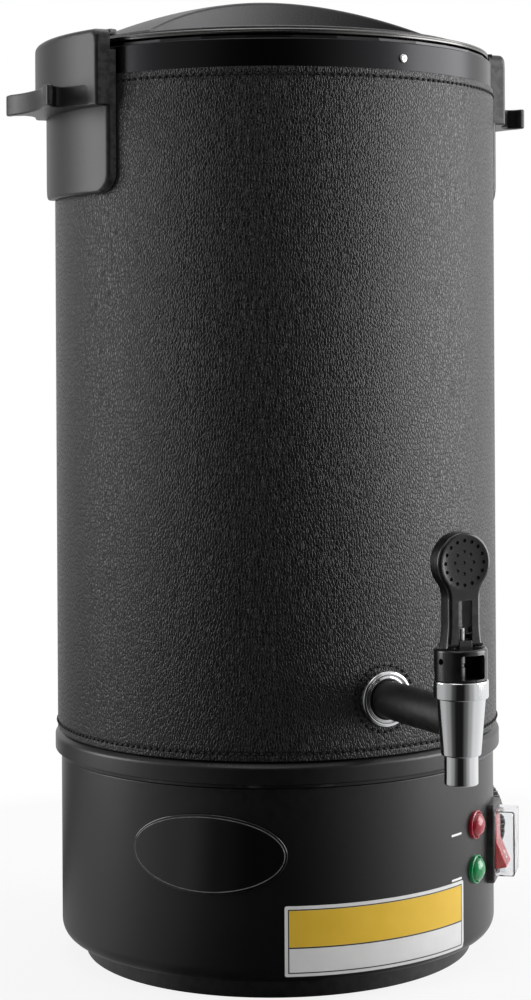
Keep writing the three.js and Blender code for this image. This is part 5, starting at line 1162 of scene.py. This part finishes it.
def make_tap():
    """The tap's fixed and lifting parts: flange, gasket, sleeve, chrome body, cap and stem."""
    line = at_angle(0, TAP_HEIGHT) @ OUTWARD
    ring = lathe(rounded([
        (9.65, 116.0), (14.0, 116.0), (14.0, 118.2, 0.5), (13.6, 119.7, 0.8), (12.4, 120.6, 0.9),
        (11.7, 120.2, 0.3), (11.4, 119.5, 0.2), (10.4, 120.0, 0.4), (9.65, 119.7, 0.3)], 5), TAP_ROUND)
    for vert in ring.verts:
        if vert.co.z < 116.5:
            vert.co.z = math.sqrt((WRAP_RADIUS + 0.05) ** 2 - min(abs(vert.co.x), WRAP_RADIUS) ** 2)
    finish_piece("tap_flange", moved(ring, line), "chrome", "tap_escutcheon")
    gasket = lathe(rounded([(8.0, 116.7), (9.6, 116.7), (9.6, 118.7, 0.4), (8.0, 118.7, 0.3)]), TAP_ROUND)
    finish_piece("tap_gasket", moved(gasket, line), "silicone", "tap_outer_gasket")
    sleeve = lathe(rounded([(8.0, 119.0), (8.9, 119.0, 0.3), (SLEEVE_RADIUS, 121.0, 0.4),
                            (SLEEVE_RADIUS, TAP_REACH - 2.0),
                            (8.0, TAP_REACH - 2.0)]), TAP_ROUND)
    cone = lathe([(0, CONE_BOTTOM), (9.3, CONE_BOTTOM), (11.6, CONE_TOP), (0, CONE_TOP)], TAP_ROUND)
    sleeve = combine(moved(sleeve, line), moved(cone, UPRIGHT), "DIFFERENCE")
    finish_piece("tap_neck", sleeve, "sleeve_plastic", "tap_sleeve", slot="tap_plastic")

    body = lathe(rounded([
        (6.2, 117.7, 0.3), (7.9, 117.7, 0.6), (7.9, CONE_BOTTOM, 0.3), (SLEEVE_RADIUS, CONE_BOTTOM, 0.7),
        (11.55, CONE_TOP, 0.3), (12.95, CONE_TOP, 0.6), (12.95, CUP_TOP, 0.7), (10.4, CUP_TOP, 0.3),
        (10.4, 160.1), (7.6, 160.1),
        (7.6, 136.0), (4.6, 136.0), (4.6, 134.0), (6.2, 134.0)], 5), TAP_ROUND)
    finish_piece("tap_barrel", moved(body, UPRIGHT), "chrome", "tap_body")

    bonnet = lathe(rounded([
        (3.5, 160.4), (10.1, 160.4), (10.1, 166.4), (12.5, 166.4, 0.3), (12.5, BONNET_TOP, 1.4),
        (3.5, BONNET_TOP)], 5), TAP_ROUND)
    mouth = rounded([(-6.4, 167.4, 0.8), (6.4, 167.4, 0.8), (6.4, 178.5, 1.6), (-6.4, 178.5, 1.6)])
    front = plate(mouth, 2.0, 20.0, 0.1, flat_face)
    bonnet = combine(bonnet, front, "DIFFERENCE")
    for degrees in (-78, 78):
        eye = rod(1.5, 10.2, 16.0, PIN_ROUND)
        place = Matrix.Translation((0, 0, 175.4)) @ turned("Z", degrees) @ OUTWARD
        bonnet = combine(bonnet, moved(eye, place), "DIFFERENCE")
    lip = rounded([(-3.5, 180.3), (3.5, 180.3), (3.5, 184.5, 0.5), (-3.5, 184.5, 0.5)])
    bonnet = combine(bonnet, plate(lip, 3.4, 4.7, 0.3, flat_face), "UNION")
    finish_piece("tap_cap", moved(bonnet, UPRIGHT), "tap_plastic", "tap_bonnet")

    stem = lathe(rounded([
        (0, 140.5), (2.0, 140.5, 0.3), (2.0, 149.5), (3.1, 149.5, 0.3), (3.1, 172.0, 0.3), (2.7, 172.4),
        (2.7, 173.4), (3.1, 173.8, 0.3), (3.1, 180.4, 0.3), (2.4, 181.0, 0.3), (2.4, 190.4, 0.8),
        (0, 190.4)], closed=False), LENS_ROUND)
    finish_piece("lift_stem", moved(stem, UPRIGHT), "pot_steel", "tap_stem", body="tap_valve")
    dress_nodes("silicone", "tap_seat_cup", "tap_inner_gasket")
    dress_nodes("brass", "tap_nut", "tap_shank")


def lever_outline():
    """The lever seen from the front: a waisted neck that flares into a round pad."""
    foot, neck, flare = 9.6, 8.45, 12.0
    bottom = BONNET_TOP + FIT
    reach = LEVER_DISC_RADIUS + flare
    side = neck + flare
    rise = math.sqrt(reach ** 2 - side ** 2)
    start = math.degrees(math.atan2(-rise, side))
    neck_curve = arc((side, LEVER_DISC_HEIGHT - rise), flare, 180.0, 180.0 + start, 8)
    pad = arc((0, LEVER_DISC_HEIGHT), LEVER_DISC_RADIUS, start, 180.0 - start, 48)
    waist = [(foot - (foot - neck) * math.sin(math.radians(90 * k / 6)), bottom + 12.0 * k / 6)
             for k in range(1, 7)]
    right = [(foot, bottom), *waist, *neck_curve[:-1]]
    left = [(-x, z) for x, z in reversed(right)]
    return [*right, *pad, *left]


def make_lever():
    """The tap's lever with its window, dished pad and dimples."""
    blank = plate(lever_outline(), -4.5, 4.5, 1.7, flat_face, back_edge=1.7, steps=5)
    half, low, high = 3.7, 170.0, 203.0
    window = rounded([(-half, low), (half, low), (half, high, 0.6), (-half, high, 0.6)])
    blank = combine(blank, plate(window, -10.0, 10.0, 0.1, flat_face), "DIFFERENCE")
    rim = LEVER_DISC_RADIUS - 1.6
    hollow = [(rim * k / 14, 3.65 + 0.85 * (k / 14) ** 3.5) for k in range(15)]
    dish = lathe([*hollow, (rim, 9.0), (0, 9.0)], TAP_ROUND)
    lift = Matrix.Translation((0, 0, LEVER_DISC_HEIGHT)) @ OUTWARD
    blank = combine(blank, moved(dish, lift), "DIFFERENCE")
    level = moved(blank, lift.inverted())
    mesh = grown(level, "dimples", "tap_plastic", {
        "Face Height": 3.95, "Dimple Radius": 0.95, "Outer Radius": 10.3, "Inner Radius": 5.1})
    mesh.transform(UPRIGHT @ lift)
    finish_mesh("hand_lever", mesh, "tap_plastic", ["tap_lever"], body="tap_handle", sharp=30)
    half = 8.45
    pin = rounded([(0, -half), (1.5, -half, 0.3), (1.5, half, 0.3), (0, half)], closed=False)
    across = Matrix.Translation((0, 0, LEVER_PIN_HEIGHT)) @ turned("Y", 90)
    finish_piece("pivot_pin", moved(lathe(pin, PIN_ROUND), UPRIGHT @ across), "chrome", "lever_pin",
                 body="tap_handle", slot="pot_steel")


def make_lamps():
    """The two indicator lamps, each a tinted lens with a rim, and a short plain mark beside it."""
    rim = rounded([(LENS_RADIUS, LENS_BACK), (LENS_RADIUS, 117.4, 0.6), (6.6, 117.4, 0.3), (6.5, 116.7)],
                  closed=False)
    turns = [math.radians(a) for a in range(0, 90, 10)]
    dome = [(6.0 * math.cos(a), 117.2 + 3.4 * math.sin(a)) for a in turns]
    for word, height, finish in (("heating", HEATING_HEIGHT, "red_lens"),
                                 ("standby", STANDBY_HEIGHT, "green_lens")):
        lens = lathe([(0, 113.0), (4.7, 113.0), (4.7, LENS_BACK), (LENS_RADIUS, LENS_BACK), *rim[1:],
                      *dome, (0, 120.6)], LENS_ROUND)
        place = at_angle(LAMP_ANGLE, height) @ OUTWARD
        finish_piece(f"{word}_light", moved(lens, place), finish, f"{word}_lamp_lens")
        around = lambda u, v, d: on_base(u, v + height - 1.5, d)
        mark = plate(rounded_rectangle(9.0, 1.1, 0.5), MARK_BACK, MARK_FRONT, 0.02, around, 3.0)
        turn = turned("Z", LAMP_ANGLE - 9.5)
        finish_piece(f"{word}_mark", moved(mark, turn), "white_print", slot="base_plastic")
    dress_nodes("base_plastic", "heating_lamp_body", "standby_lamp_body")


def make_switch():
    """The rocker switch: its frame, the rocker with its two marks, and the clear dust cover."""
    here = at_angle(SWITCH_ANGLE, SWITCH_HEIGHT)
    housing = plate(rounded_rectangle(25.0, 41.0, 2.5), 112.0, SWITCH_FACE, 1.1, flat_face)
    block = plate(rounded_rectangle(22.0, 35.0, 1.0), 93.6, 114.0, 0.3, flat_face)
    housing = combine(housing, block, "UNION")
    cavity = plate(rounded_rectangle(17.0, 31.2, 0.6), 105.6, 130.0, 0.1, flat_face)
    housing = combine(housing, cavity, "DIFFERENCE")
    for step in (-1, 0, 1):
        blade = plate(rounded_rectangle(6.0, 0.8, 0.2), 85.6, 95.0, 0.1, flat_face)
        housing = combine(housing, moved(blade, Matrix.Translation((0, 0, 10 * step))), "UNION")
    finish_piece("switch_frame", moved(housing, here), "base_plastic", "switch_housing")

    half, top = ROCKER_HALF, ROCKER_MIDDLE + ROCKER_RISE
    side = rounded([(-half, top, 0.9), (-half, 0.5, 0.8), (-6, -5, 0.6), (6, -5, 0.6), (half, 0.5, 0.8),
                    (half, top, 0.9), (0, ROCKER_MIDDLE, 6.0)], 5)
    rocker = plate(side, -8.0, 8.0, 0.6, lambda u, v, d: (d, -v, u), back_edge=0.6)
    axle = rod(1.6, -9.6, 9.6, PIN_ROUND)
    rocker = combine(rocker, moved(axle, turned("Y", 90)), "UNION")
    tilt = here @ Matrix.Translation((0, -BASE_RADIUS, 0)) @ turned("X", -12)
    finish_piece("rocker_cap", moved(rocker, tilt), "red_plastic", "rocker_button", body="rocker")
    slope = math.atan2(ROCKER_RISE, ROCKER_HALF)
    for name, spot in (("off_mark", -8.5), ("on_mark", 8.5)):
        sign = 1 if spot > 0 else -1
        height = ROCKER_MIDDLE + ROCKER_RISE * abs(spot) / ROCKER_HALF
        lie = tilt @ Matrix.Translation((0, -height, spot)) @ Matrix.Rotation(sign * slope, 4, "X")
        if spot < 0:
            mark = lathe([(1.5, -0.1), (2.2, -0.1), (2.2, 0.12), (1.5, 0.12)], BOSS_ROUND)
            mark = moved(mark, OUTWARD)
        else:
            mark = plate(rounded_rectangle(0.7, 4.4, 0.2), -0.1, 0.12, 0.04, flat_face)
        finish_piece(name, moved(mark, lie), "white_print", body="rocker", slot="red_plastic")

    outer = plate(rounded_rectangle(20.5, 34.0, 2.0), 118.9, 128.9, 1.5, flat_face)
    inner = plate(rounded_rectangle(18.7, 32.2, 1.6), 110.0, 128.0, 1.0, flat_face)
    cover = combine(outer, inner, "DIFFERENCE")
    finish_piece("clear_cover", moved(cover, here), "clear_plastic", "switch_dust_cover")


def number_shape(text, size):
    """A plain number as a thin mesh, facing along +Z with its middle at the origin."""
    curve = bpy.data.curves.new("number", "FONT")
    curve.body = text
    curve.size = size
    curve.extrude = 0.06
    curve.align_x = "CENTER"
    curve.align_y = "CENTER"
    made = new_object("number", curve)
    result = taken_up(evaluated_mesh(made))
    bpy.data.objects.remove(made)
    bpy.data.curves.remove(curve)
    return result


def added(bm, part):
    """Put one shape beside another in the same mesh."""
    mesh = bpy.data.meshes.new("part")
    part.to_mesh(mesh)
    bm.from_mesh(mesh)
    bpy.data.meshes.remove(mesh)


def make_dial():
    """The thermostat's dial: its backing ring, the ribbed knob and the plain numbers on it."""
    place = at_angle(KNOB_ANGLE, KNOB_HEIGHT) @ OUTWARD
    ring = lathe(rounded([(5.3, 112.0), (24.0, 112.0), (24.0, 117.1, 0.7), (5.3, 117.1)]), TAP_ROUND)
    finish_piece("dial_plate", moved(ring, place), "base_plastic", "dial_ring")
    front = KNOB_BACK + KNOB_DEPTH
    knob = lathe(rounded([
        (3.3, KNOB_BACK), (21.9, KNOB_BACK, 0.3), (21.9, KNOB_BACK + 1.8, 0.5), (20.6, KNOB_BACK + 2.4, 0.4),
        (20.4, front, 1.8), (15.5, front, 0.6), (14.6, front - 1.2, 0.6), (0, front - 1.2), (0, 126.0),
        (3.3, 126.0)], 5), TAP_ROUND)
    bar = plate(rounded_rectangle(5.0, 27.0, 2.4), front - 2.0, front, 0.9, level_face)
    knob = combine(knob, bar, "UNION")
    mesh = grown(knob, "ribs_round", "tap_plastic", {
        "Count": 48, "Ring Radius": 20.5, "Rib Radius": 0.85, "Rib Length": 9.6,
        "Rib Middle": KNOB_BACK + 6.6})
    mesh.transform(place)
    finish_mesh("dial_knob", mesh, "tap_plastic", ["thermostat_knob"], body="dial")

    numbers = bmesh.new()
    for k, text in enumerate(("0", "30", "50", "70", "90", "110")):
        spot = turned("Z", -270.0 * k / 5) @ Matrix.Translation((0, 17.9, front))
        added(numbers, moved(number_shape(text, 3.4), place @ spot))
    pointer = plate(rounded_rectangle(1.0, 5.0, 0.4), front - 0.1, front + 0.1, 0.05, level_face)
    added(numbers, moved(pointer, place @ Matrix.Translation((0, 9.5, 0))))
    finish_piece("dial_numbers", numbers, "white_print", body="dial", slot="tap_plastic")
    around = lambda u, v, d: on_base(u, v + KNOB_HEIGHT + 28.0, d)
    index = plate(rounded_rectangle(1.2, 4.5, 0.5), MARK_BACK, MARK_FRONT, 0.02, around, 2.0)
    spot = turned("Z", KNOB_ANGLE)
    finish_piece("dial_index", moved(index, spot), "white_print", slot="base_plastic")
    dress_nodes("aluminium", "thermostat_body")
    dress_nodes("pot_steel", "thermostat_shaft")


def make_plates():
    """The blank oval badge with its thin outline, and the blank printed label."""
    left, right = (math.radians(angle) * BASE_RADIUS for angle in LABEL_ANGLES)
    low, high = LABEL_HEIGHTS
    outline = rounded([(left, low, 1.0), (right, low, 1.0), (right, high, 1.0), (left, high, 1.0)])
    label = plate(outline, BASE_RADIUS + 0.05, BASE_RADIUS + 0.35, 0.08, on_base, 2.5)
    finish_piece("printed_label", surface_map(tidy(label), BASE_RADIUS), "label_print", "label_plate")

    half_width, half_height = 40.7, 19.7
    oval = [(half_width * math.cos(TAU * k / 96), half_height * math.sin(TAU * k / 96)) for k in range(96)]
    around = lambda u, v, d: on_base(u, v + BADGE_HEIGHT, d)
    badge = plate(oval, BASE_RADIUS + 0.1, BASE_RADIUS + 1.2, 0.6, around, 4.0)
    turn = turned("Z", BADGE_ANGLE)
    finish_piece("oval_badge", moved(badge, turn), "badge_plastic", "badge_plate")
    inset, count = 1.5, 160
    turns = [TAU * k / count for k in range(count)]
    line = [around((half_width - inset) * math.cos(a), (half_height - inset) * math.sin(a), BASE_RADIUS + 1.2)
            for a in turns]
    outline_ring = tube_along(line, 0.22, 8)
    finish_piece("badge_outline", moved(outline_ring, turn), "pale_outline", slot="badge_plastic")


def make_inlet():
    """The cord gland at the back."""
    place = at_angle(180, GLAND_HEIGHT) @ OUTWARD
    gland = lathe(rounded([
        (3.8, 105.1), (8.0, 105.1), (8.0, 115.9), (11.0, 115.9), (11.0, 118.9, 0.8), (7.2, 118.9, 0.6),
        (6.6, 121.0, 0.3), (7.0, 121.6, 0.3), (6.2, 123.6, 0.3), (6.6, 124.2, 0.3), (5.6, 127.9, 0.8),
        (3.8, 127.9, 0.4)]), TAP_ROUND)
    finish_piece("cord_bush", moved(gland, place), "tap_plastic", "cord_gland")
    dress_nodes("tap_plastic", "gland_nut")


def make_inner_parts():
    """Materials for the CAD pieces inside the pot, which keep their shapes."""
    dress_nodes("inner_steel", "inner_pot")
    dress_nodes("pot_steel", "heating_element", *[f"handle_screw_{k}" for k in range(1, 9)])
    dress_nodes("insulation", "insulation_sleeve")
    dress_nodes("aluminium", "heater_plate")
    dress_nodes("brass", "thermostat_sensor")
    dress_nodes("badge_plastic", "thermal_cutout")


# Stage

VIEW = Vector((0.474, 0.880, 0)).normalized()
CAMERA_PLACE = (-0.5283, -1.0426, 0.3246)
CAMERA_ROLL = -0.319
CAMERA_LENS = 78.05
CAMERA_SHIFT = (-0.0645, -0.1623)
SENSOR_WIDTH = 36.0
FLOOR_RADIUS = 6.0
FLOOR_DROP = 0.0002
LIGHT_TARGET = (0, 0, 0.25)
RIGHT = Vector((VIEW.y, -VIEW.x, 0))
# What gloss shows of the room, by the angle from the camera's side: white behind the pot, dark before it
ROOM_LEVELS = ((-150, 0.9), (-128, 0.10), (-105, 0.45), (-72, 0.50), (-42, 0.30), (-24, 0.06), (-10, 0.01),
               (10, 0.01), (24, 0.12), (40, 0.38), (57, 0.75), (109, 1.0), (150, 1.0))


def area_light(name, ahead, right, height, size, energy):
    """A soft box, placed by how far it lies along and across the camera's view."""
    light = bpy.data.lights.new(name, "AREA")
    light.shape = "RECTANGLE"
    light.size, light.size_y = size
    light.energy = energy
    made = new_object(name, light)
    made.location = VIEW * ahead + RIGHT * right + Vector((0, 0, height))
    made.rotation_euler = (Vector(LIGHT_TARGET) - made.location).to_track_quat("-Z", "Y").to_euler()


def round_room(tree, direction):
    """How bright gloss shows the room, by the angle of a direction round the pot."""
    across = put(tree, "ShaderNodeVectorMath", {0: direction, 1: tuple(RIGHT)}, operation="DOT_PRODUCT")
    towards = put(tree, "ShaderNodeVectorMath", {0: direction, 1: tuple(-VIEW)}, operation="DOT_PRODUCT")
    turn = maths(tree, "ARCTAN2", across.outputs["Value"], towards.outputs["Value"])
    bands = put(tree, "ShaderNodeValToRGB", {"Fac": ramp_between(tree, turn, -math.pi, math.pi, False)})
    bands.color_ramp.interpolation = "EASE"
    stops = bands.color_ramp.elements
    stops[0].color = (1, 1, 1, 1)
    stops[1].color = (1, 1, 1, 1)
    for degrees, grey in ROOM_LEVELS:
        stops.new((degrees + 180) / 360).color = (grey, grey, grey, 1)
    return bands.outputs["Color"]


def make_stage(settings):
    """Camera, lamps, world and a plain pale floor."""
    scene = bpy.context.scene
    scene.view_settings.view_transform = "Standard"
    camera_data = bpy.data.cameras.new("view")
    camera_data.lens = CAMERA_LENS
    camera_data.sensor_width = SENSOR_WIDTH
    camera_data.shift_x, camera_data.shift_y = CAMERA_SHIFT
    camera = new_object("view", camera_data)
    level = VIEW.to_track_quat("-Z", "Y").to_matrix().to_4x4()
    roll = turned("Z", CAMERA_ROLL)
    camera.matrix_world = Matrix.Translation(CAMERA_PLACE) @ level @ roll
    scene.camera = camera

    floor_mesh = bpy.data.meshes.new("floor")
    bm = bmesh.new()
    bmesh.ops.create_circle(bm, cap_ends=True, segments=64, radius=FLOOR_RADIUS)
    bm.to_mesh(floor_mesh)
    bm.free()
    floor = new_object("floor", floor_mesh)
    floor.location.z = -FLOOR_DROP
    material = bpy.data.materials.new("floor")
    material.use_nodes = True
    tree = material.node_tree
    shader = tree.nodes["Principled BSDF"]
    feed(tree, shader, {"Base Color": (0.88, 0.88, 0.88, 1), "Roughness": 0.9, "Specular IOR Level": 0.1})
    place = put(tree, "ShaderNodeTexCoord").outputs["Object"]
    path = put(tree, "ShaderNodeLightPath").outputs
    plain = maths(tree, "MAXIMUM", path["Is Camera Ray"], path["Is Transmission Ray"])
    glossy = maths(tree, "MULTIPLY", path["Is Glossy Ray"], round_room(tree, place))
    strength = maths(tree, "MAXIMUM", plain, glossy)
    glow = put(tree, "ShaderNodeEmission", {"Color": (1, 1, 1, 1), "Strength": strength}).outputs[0]
    away = put(tree, "ShaderNodeVectorMath", {0: place}, operation="LENGTH").outputs["Value"]
    white = maths(tree, "MAXIMUM", ramp_between(tree, away, 0.17, 0.45), settings.floor_white)
    share = maths(tree, "MAXIMUM", maths(tree, "MULTIPLY", plain, white), path["Is Glossy Ray"])
    mixed = put(tree, "ShaderNodeMixShader", {0: share, 1: shader.outputs[0], 2: glow}).outputs[0]
    tree.links.new(mixed, tree.nodes["Material Output"].inputs["Surface"])
    floor_mesh.materials.append(material)

    world = bpy.data.worlds.new("studio")
    world.use_nodes = True
    scene.world = world
    tree = world.node_tree
    back = tree.nodes["Background"]
    path = put(tree, "ShaderNodeLightPath").outputs
    seen = maths(tree, "MAXIMUM", path["Is Camera Ray"], path["Is Transmission Ray"])
    direction = put(tree, "ShaderNodeTexCoord").outputs["Generated"]
    bands = round_room(tree, direction)
    rise = put(tree, "ShaderNodeSeparateXYZ", {0: direction}).outputs[2]
    ceiling = maths(tree, "MULTIPLY", ramp_between(tree, rise, 0.35, 0.9), settings.ceiling_level)
    room = maths(tree, "MAXIMUM", bands, ceiling)
    glossy = maths(tree, "MULTIPLY", path["Is Glossy Ray"], room)
    plain = maths(tree, "MAXIMUM", seen, glossy)
    diffuse = maths(tree, "MULTIPLY", path["Is Diffuse Ray"], settings.world_level)
    feed(tree, back, {"Strength": maths(tree, "MAXIMUM", plain, diffuse), "Color": (1, 1, 1, 1)})

    area_light("front_box", -1.0, -0.3, 1.75, (1.0, 0.8), settings.front_power)
    area_light("right_box", 0.05, 1.15, 0.38, (0.95, 1.2), settings.right_power)
    area_light("left_box", 0.0, -1.25, 0.40, (0.6, 1.2), settings.left_power)
    area_light("top_box", 0.25, -0.1, 1.6, (1.0, 1.0), settings.top_power)


# Settings

def length(name, description, default, **more):
    return bpy.props.FloatProperty(name=name, description=description, default=default, **more)


def colour(name, description, default):
    return bpy.props.FloatVectorProperty(name=name, description=description, default=default, subtype="COLOR",
                                         size=3, min=0.0, max=1.0)


class JacketSettings(bpy.types.PropertyGroup):
    grain_width: length("Grain Width", "Width of one pebble of the leather grain, in metres", 0.0013,
                        unit="LENGTH", precision=5)
    grain_height: length("Grain Height", "Height of one pebble of the leather grain, in metres", 0.0028,
                         unit="LENGTH", precision=5)
    grain_depth: length("Grain Depth", "Depth of the creases between pebbles, in metres", 0.00022,
                        unit="LENGTH", precision=6)
    leather_colour: colour("Leather Colour", "Colour of the leatherette", (0.0030, 0.0028, 0.0032))
    leather_roughness: length("Leather Roughness", "Roughness on top of the pebbles", 0.30, subtype="FACTOR")
    hem: length("Hem", "Distance of a stitched row from the wrap's edge, in millimetres", 3.7)
    stitch_pitch: length("Stitch Pitch", "Distance from stitch to stitch, in millimetres", 3.7)
    stitch_length: length("Stitch Length", "Length of one stitch, in millimetres", 2.3)
    thread_radius: length("Thread Radius", "Radius of the thread, in millimetres", 0.75)
    hole_stitch_radius: length("Hole Stitch Radius", "Radius of the row round the tap's hole, in millimetres",
                               16.3)


class BaseSettings(bpy.types.PropertyGroup):
    base_colour: colour("Base Colour", "Colour of the base's plastic", (0.0035, 0.0035, 0.0037))
    base_roughness: length("Base Roughness", "Roughness of the base's plastic", 0.36, subtype="FACTOR")


class HandleSettings(bpy.types.PropertyGroup):
    handle_colour: colour("Handle Colour", "Colour of the handles' plastic", (0.0075, 0.0068, 0.0076))


class LidSettings(bpy.types.PropertyGroup):
    lid_colour: colour("Lid Colour", "Colour of the lid's plastic", (0.020, 0.019, 0.0198))


class PlateSettings(bpy.types.PropertyGroup):
    label_colour: colour("Label Colour", "Colour of the label's upper field", (0.70, 0.43, 0.012))


class StageSettings(bpy.types.PropertyGroup):
    floor_white: length("Floor White", "How much of the floor's seen colour is plain white", 0.86,
                        subtype="FACTOR")
    world_level: length("World Level", "Light of the world on plain surfaces", 0.15, min=0.0)
    ceiling_level: length("Ceiling Level", "How bright metal shows the ceiling", 0.3, min=0.0)
    front_power: length("Front Power", "Power of the soft box beside the camera", 3.5, unit="POWER")
    right_power: length("Right Power", "Power of the soft box on the right", 20.0, unit="POWER")
    left_power: length("Left Power", "Power of the soft box on the left", 11.0, unit="POWER")
    top_power: length("Top Power", "Power of the soft box above", 7.0, unit="POWER")


class WaxPotSettings(bpy.types.PropertyGroup):
    jacket: bpy.props.PointerProperty(type=JacketSettings, name="Jacket", description="Sizes of the jacket")
    base: bpy.props.PointerProperty(type=BaseSettings, name="Base", description="Finish of the base")
    handles: bpy.props.PointerProperty(type=HandleSettings, name="Handles",
                                       description="Finish of the handles")
    lid: bpy.props.PointerProperty(type=LidSettings, name="Lid", description="Finish of the lid")
    plates: bpy.props.PointerProperty(type=PlateSettings, name="Plates", description="Finish of the plates")
    stage: bpy.props.PointerProperty(type=StageSettings, name="Stage", description="Lamps and floor")


# Operators

class WAXPOT_OT_finishes(bpy.types.Operator):
    """Build the materials and the geometry trees"""
    bl_idname = "waxpot.finishes"
    bl_label = "Finishes"

    def execute(self, context):
        make_finishes(context.scene.wax_pot)
        stitch_row_tree()
        ribs_round_tree()
        dimples_tree()
        copies_round_tree()
        return {"FINISHED"}


class WAXPOT_OT_base(bpy.types.Operator):
    """Make the control base, its collar and the foot cover"""
    bl_idname = "waxpot.base"
    bl_label = "Base"

    def execute(self, context):
        make_base()
        return {"FINISHED"}


class WAXPOT_OT_jacket(bpy.types.Operator):
    """Make the leatherette wrap, the steel band and its rivet"""
    bl_idname = "waxpot.jacket"
    bl_label = "Jacket"

    def execute(self, context):
        make_jacket(context.scene.wax_pot.jacket)
        return {"FINISHED"}


class WAXPOT_OT_stitches(bpy.types.Operator):
    """Sew the rows of stitches on the wrap"""
    bl_idname = "waxpot.stitches"
    bl_label = "Stitches"

    def execute(self, context):
        make_stitches(context.scene.wax_pot.jacket)
        return {"FINISHED"}


class WAXPOT_OT_handles(bpy.types.Operator):
    """Make the two side handles"""
    bl_idname = "waxpot.handles"
    bl_label = "Handles"

    def execute(self, context):
        make_handles()
        return {"FINISHED"}


class WAXPOT_OT_lid(bpy.types.Operator):
    """Make the lid's cover and its steel disc"""
    bl_idname = "waxpot.lid"
    bl_label = "Lid"

    def execute(self, context):
        make_lid()
        return {"FINISHED"}


class WAXPOT_OT_tap(bpy.types.Operator):
    """Make the tap's flange, sleeve, body, cap and stem"""
    bl_idname = "waxpot.tap"
    bl_label = "Tap"

    def execute(self, context):
        make_tap()
        return {"FINISHED"}


class WAXPOT_OT_lever(bpy.types.Operator):
    """Make the tap's lever and its pin"""
    bl_idname = "waxpot.lever"
    bl_label = "Lever"

    def execute(self, context):
        make_lever()
        return {"FINISHED"}


class WAXPOT_OT_lamps(bpy.types.Operator):
    """Make the two indicator lamps"""
    bl_idname = "waxpot.lamps"
    bl_label = "Lamps"

    def execute(self, context):
        make_lamps()
        return {"FINISHED"}


class WAXPOT_OT_switch(bpy.types.Operator):
    """Make the rocker switch and its clear cover"""
    bl_idname = "waxpot.switch"
    bl_label = "Switch"

    def execute(self, context):
        make_switch()
        return {"FINISHED"}


class WAXPOT_OT_dial(bpy.types.Operator):
    """Make the thermostat's dial"""
    bl_idname = "waxpot.dial"
    bl_label = "Dial"

    def execute(self, context):
        make_dial()
        return {"FINISHED"}


class WAXPOT_OT_plates(bpy.types.Operator):
    """Make the oval badge and the label, both blank"""
    bl_idname = "waxpot.plates"
    bl_label = "Plates"

    def execute(self, context):
        make_plates()
        return {"FINISHED"}


class WAXPOT_OT_inlet(bpy.types.Operator):
    """Make the cord gland"""
    bl_idname = "waxpot.inlet"
    bl_label = "Cord Inlet"

    def execute(self, context):
        make_inlet()
        return {"FINISHED"}


class WAXPOT_OT_inner_parts(bpy.types.Operator):
    """Give the pieces inside the pot their materials"""
    bl_idname = "waxpot.inner_parts"
    bl_label = "Inner Parts"

    def execute(self, context):
        make_inner_parts()
        return {"FINISHED"}


class WAXPOT_OT_stage(bpy.types.Operator):
    """Set up the camera, the lamps and the floor"""
    bl_idname = "waxpot.stage"
    bl_label = "Stage"

    def execute(self, context):
        make_stage(context.scene.wax_pot.stage)
        return {"FINISHED"}


STEPS = (
    WAXPOT_OT_stage, WAXPOT_OT_finishes, WAXPOT_OT_base, WAXPOT_OT_jacket, WAXPOT_OT_stitches,
    WAXPOT_OT_handles, WAXPOT_OT_lid, WAXPOT_OT_tap, WAXPOT_OT_lever, WAXPOT_OT_lamps, WAXPOT_OT_switch,
    WAXPOT_OT_dial, WAXPOT_OT_plates, WAXPOT_OT_inlet, WAXPOT_OT_inner_parts,
)


class WAXPOT_PT_pieces(bpy.types.Panel):
    """Lists the operators that dress the pot"""
    bl_idname = "WAXPOT_PT_pieces"
    bl_label = "Wax Pot"
    bl_space_type = "VIEW_3D"
    bl_region_type = "UI"
    bl_category = "Wax Pot"

    def draw(self, context):
        for step in STEPS:
            self.layout.operator(step.bl_idname)


CLASSES = (
    JacketSettings, BaseSettings, HandleSettings, LidSettings, PlateSettings, StageSettings, WaxPotSettings,
    *STEPS, WAXPOT_PT_pieces,
)


def register():
    for item in CLASSES:
        bpy.utils.register_class(item)
    bpy.types.Scene.wax_pot = bpy.props.PointerProperty(type=WaxPotSettings)


def unregister():
    del bpy.types.Scene.wax_pot
    for item in reversed(CLASSES):
        bpy.utils.unregister_class(item)


def main():
    register()
    for step in STEPS:
        getattr(bpy.ops.waxpot, step.bl_idname.split(".")[1])()


if __name__ == "__main__":
    main()
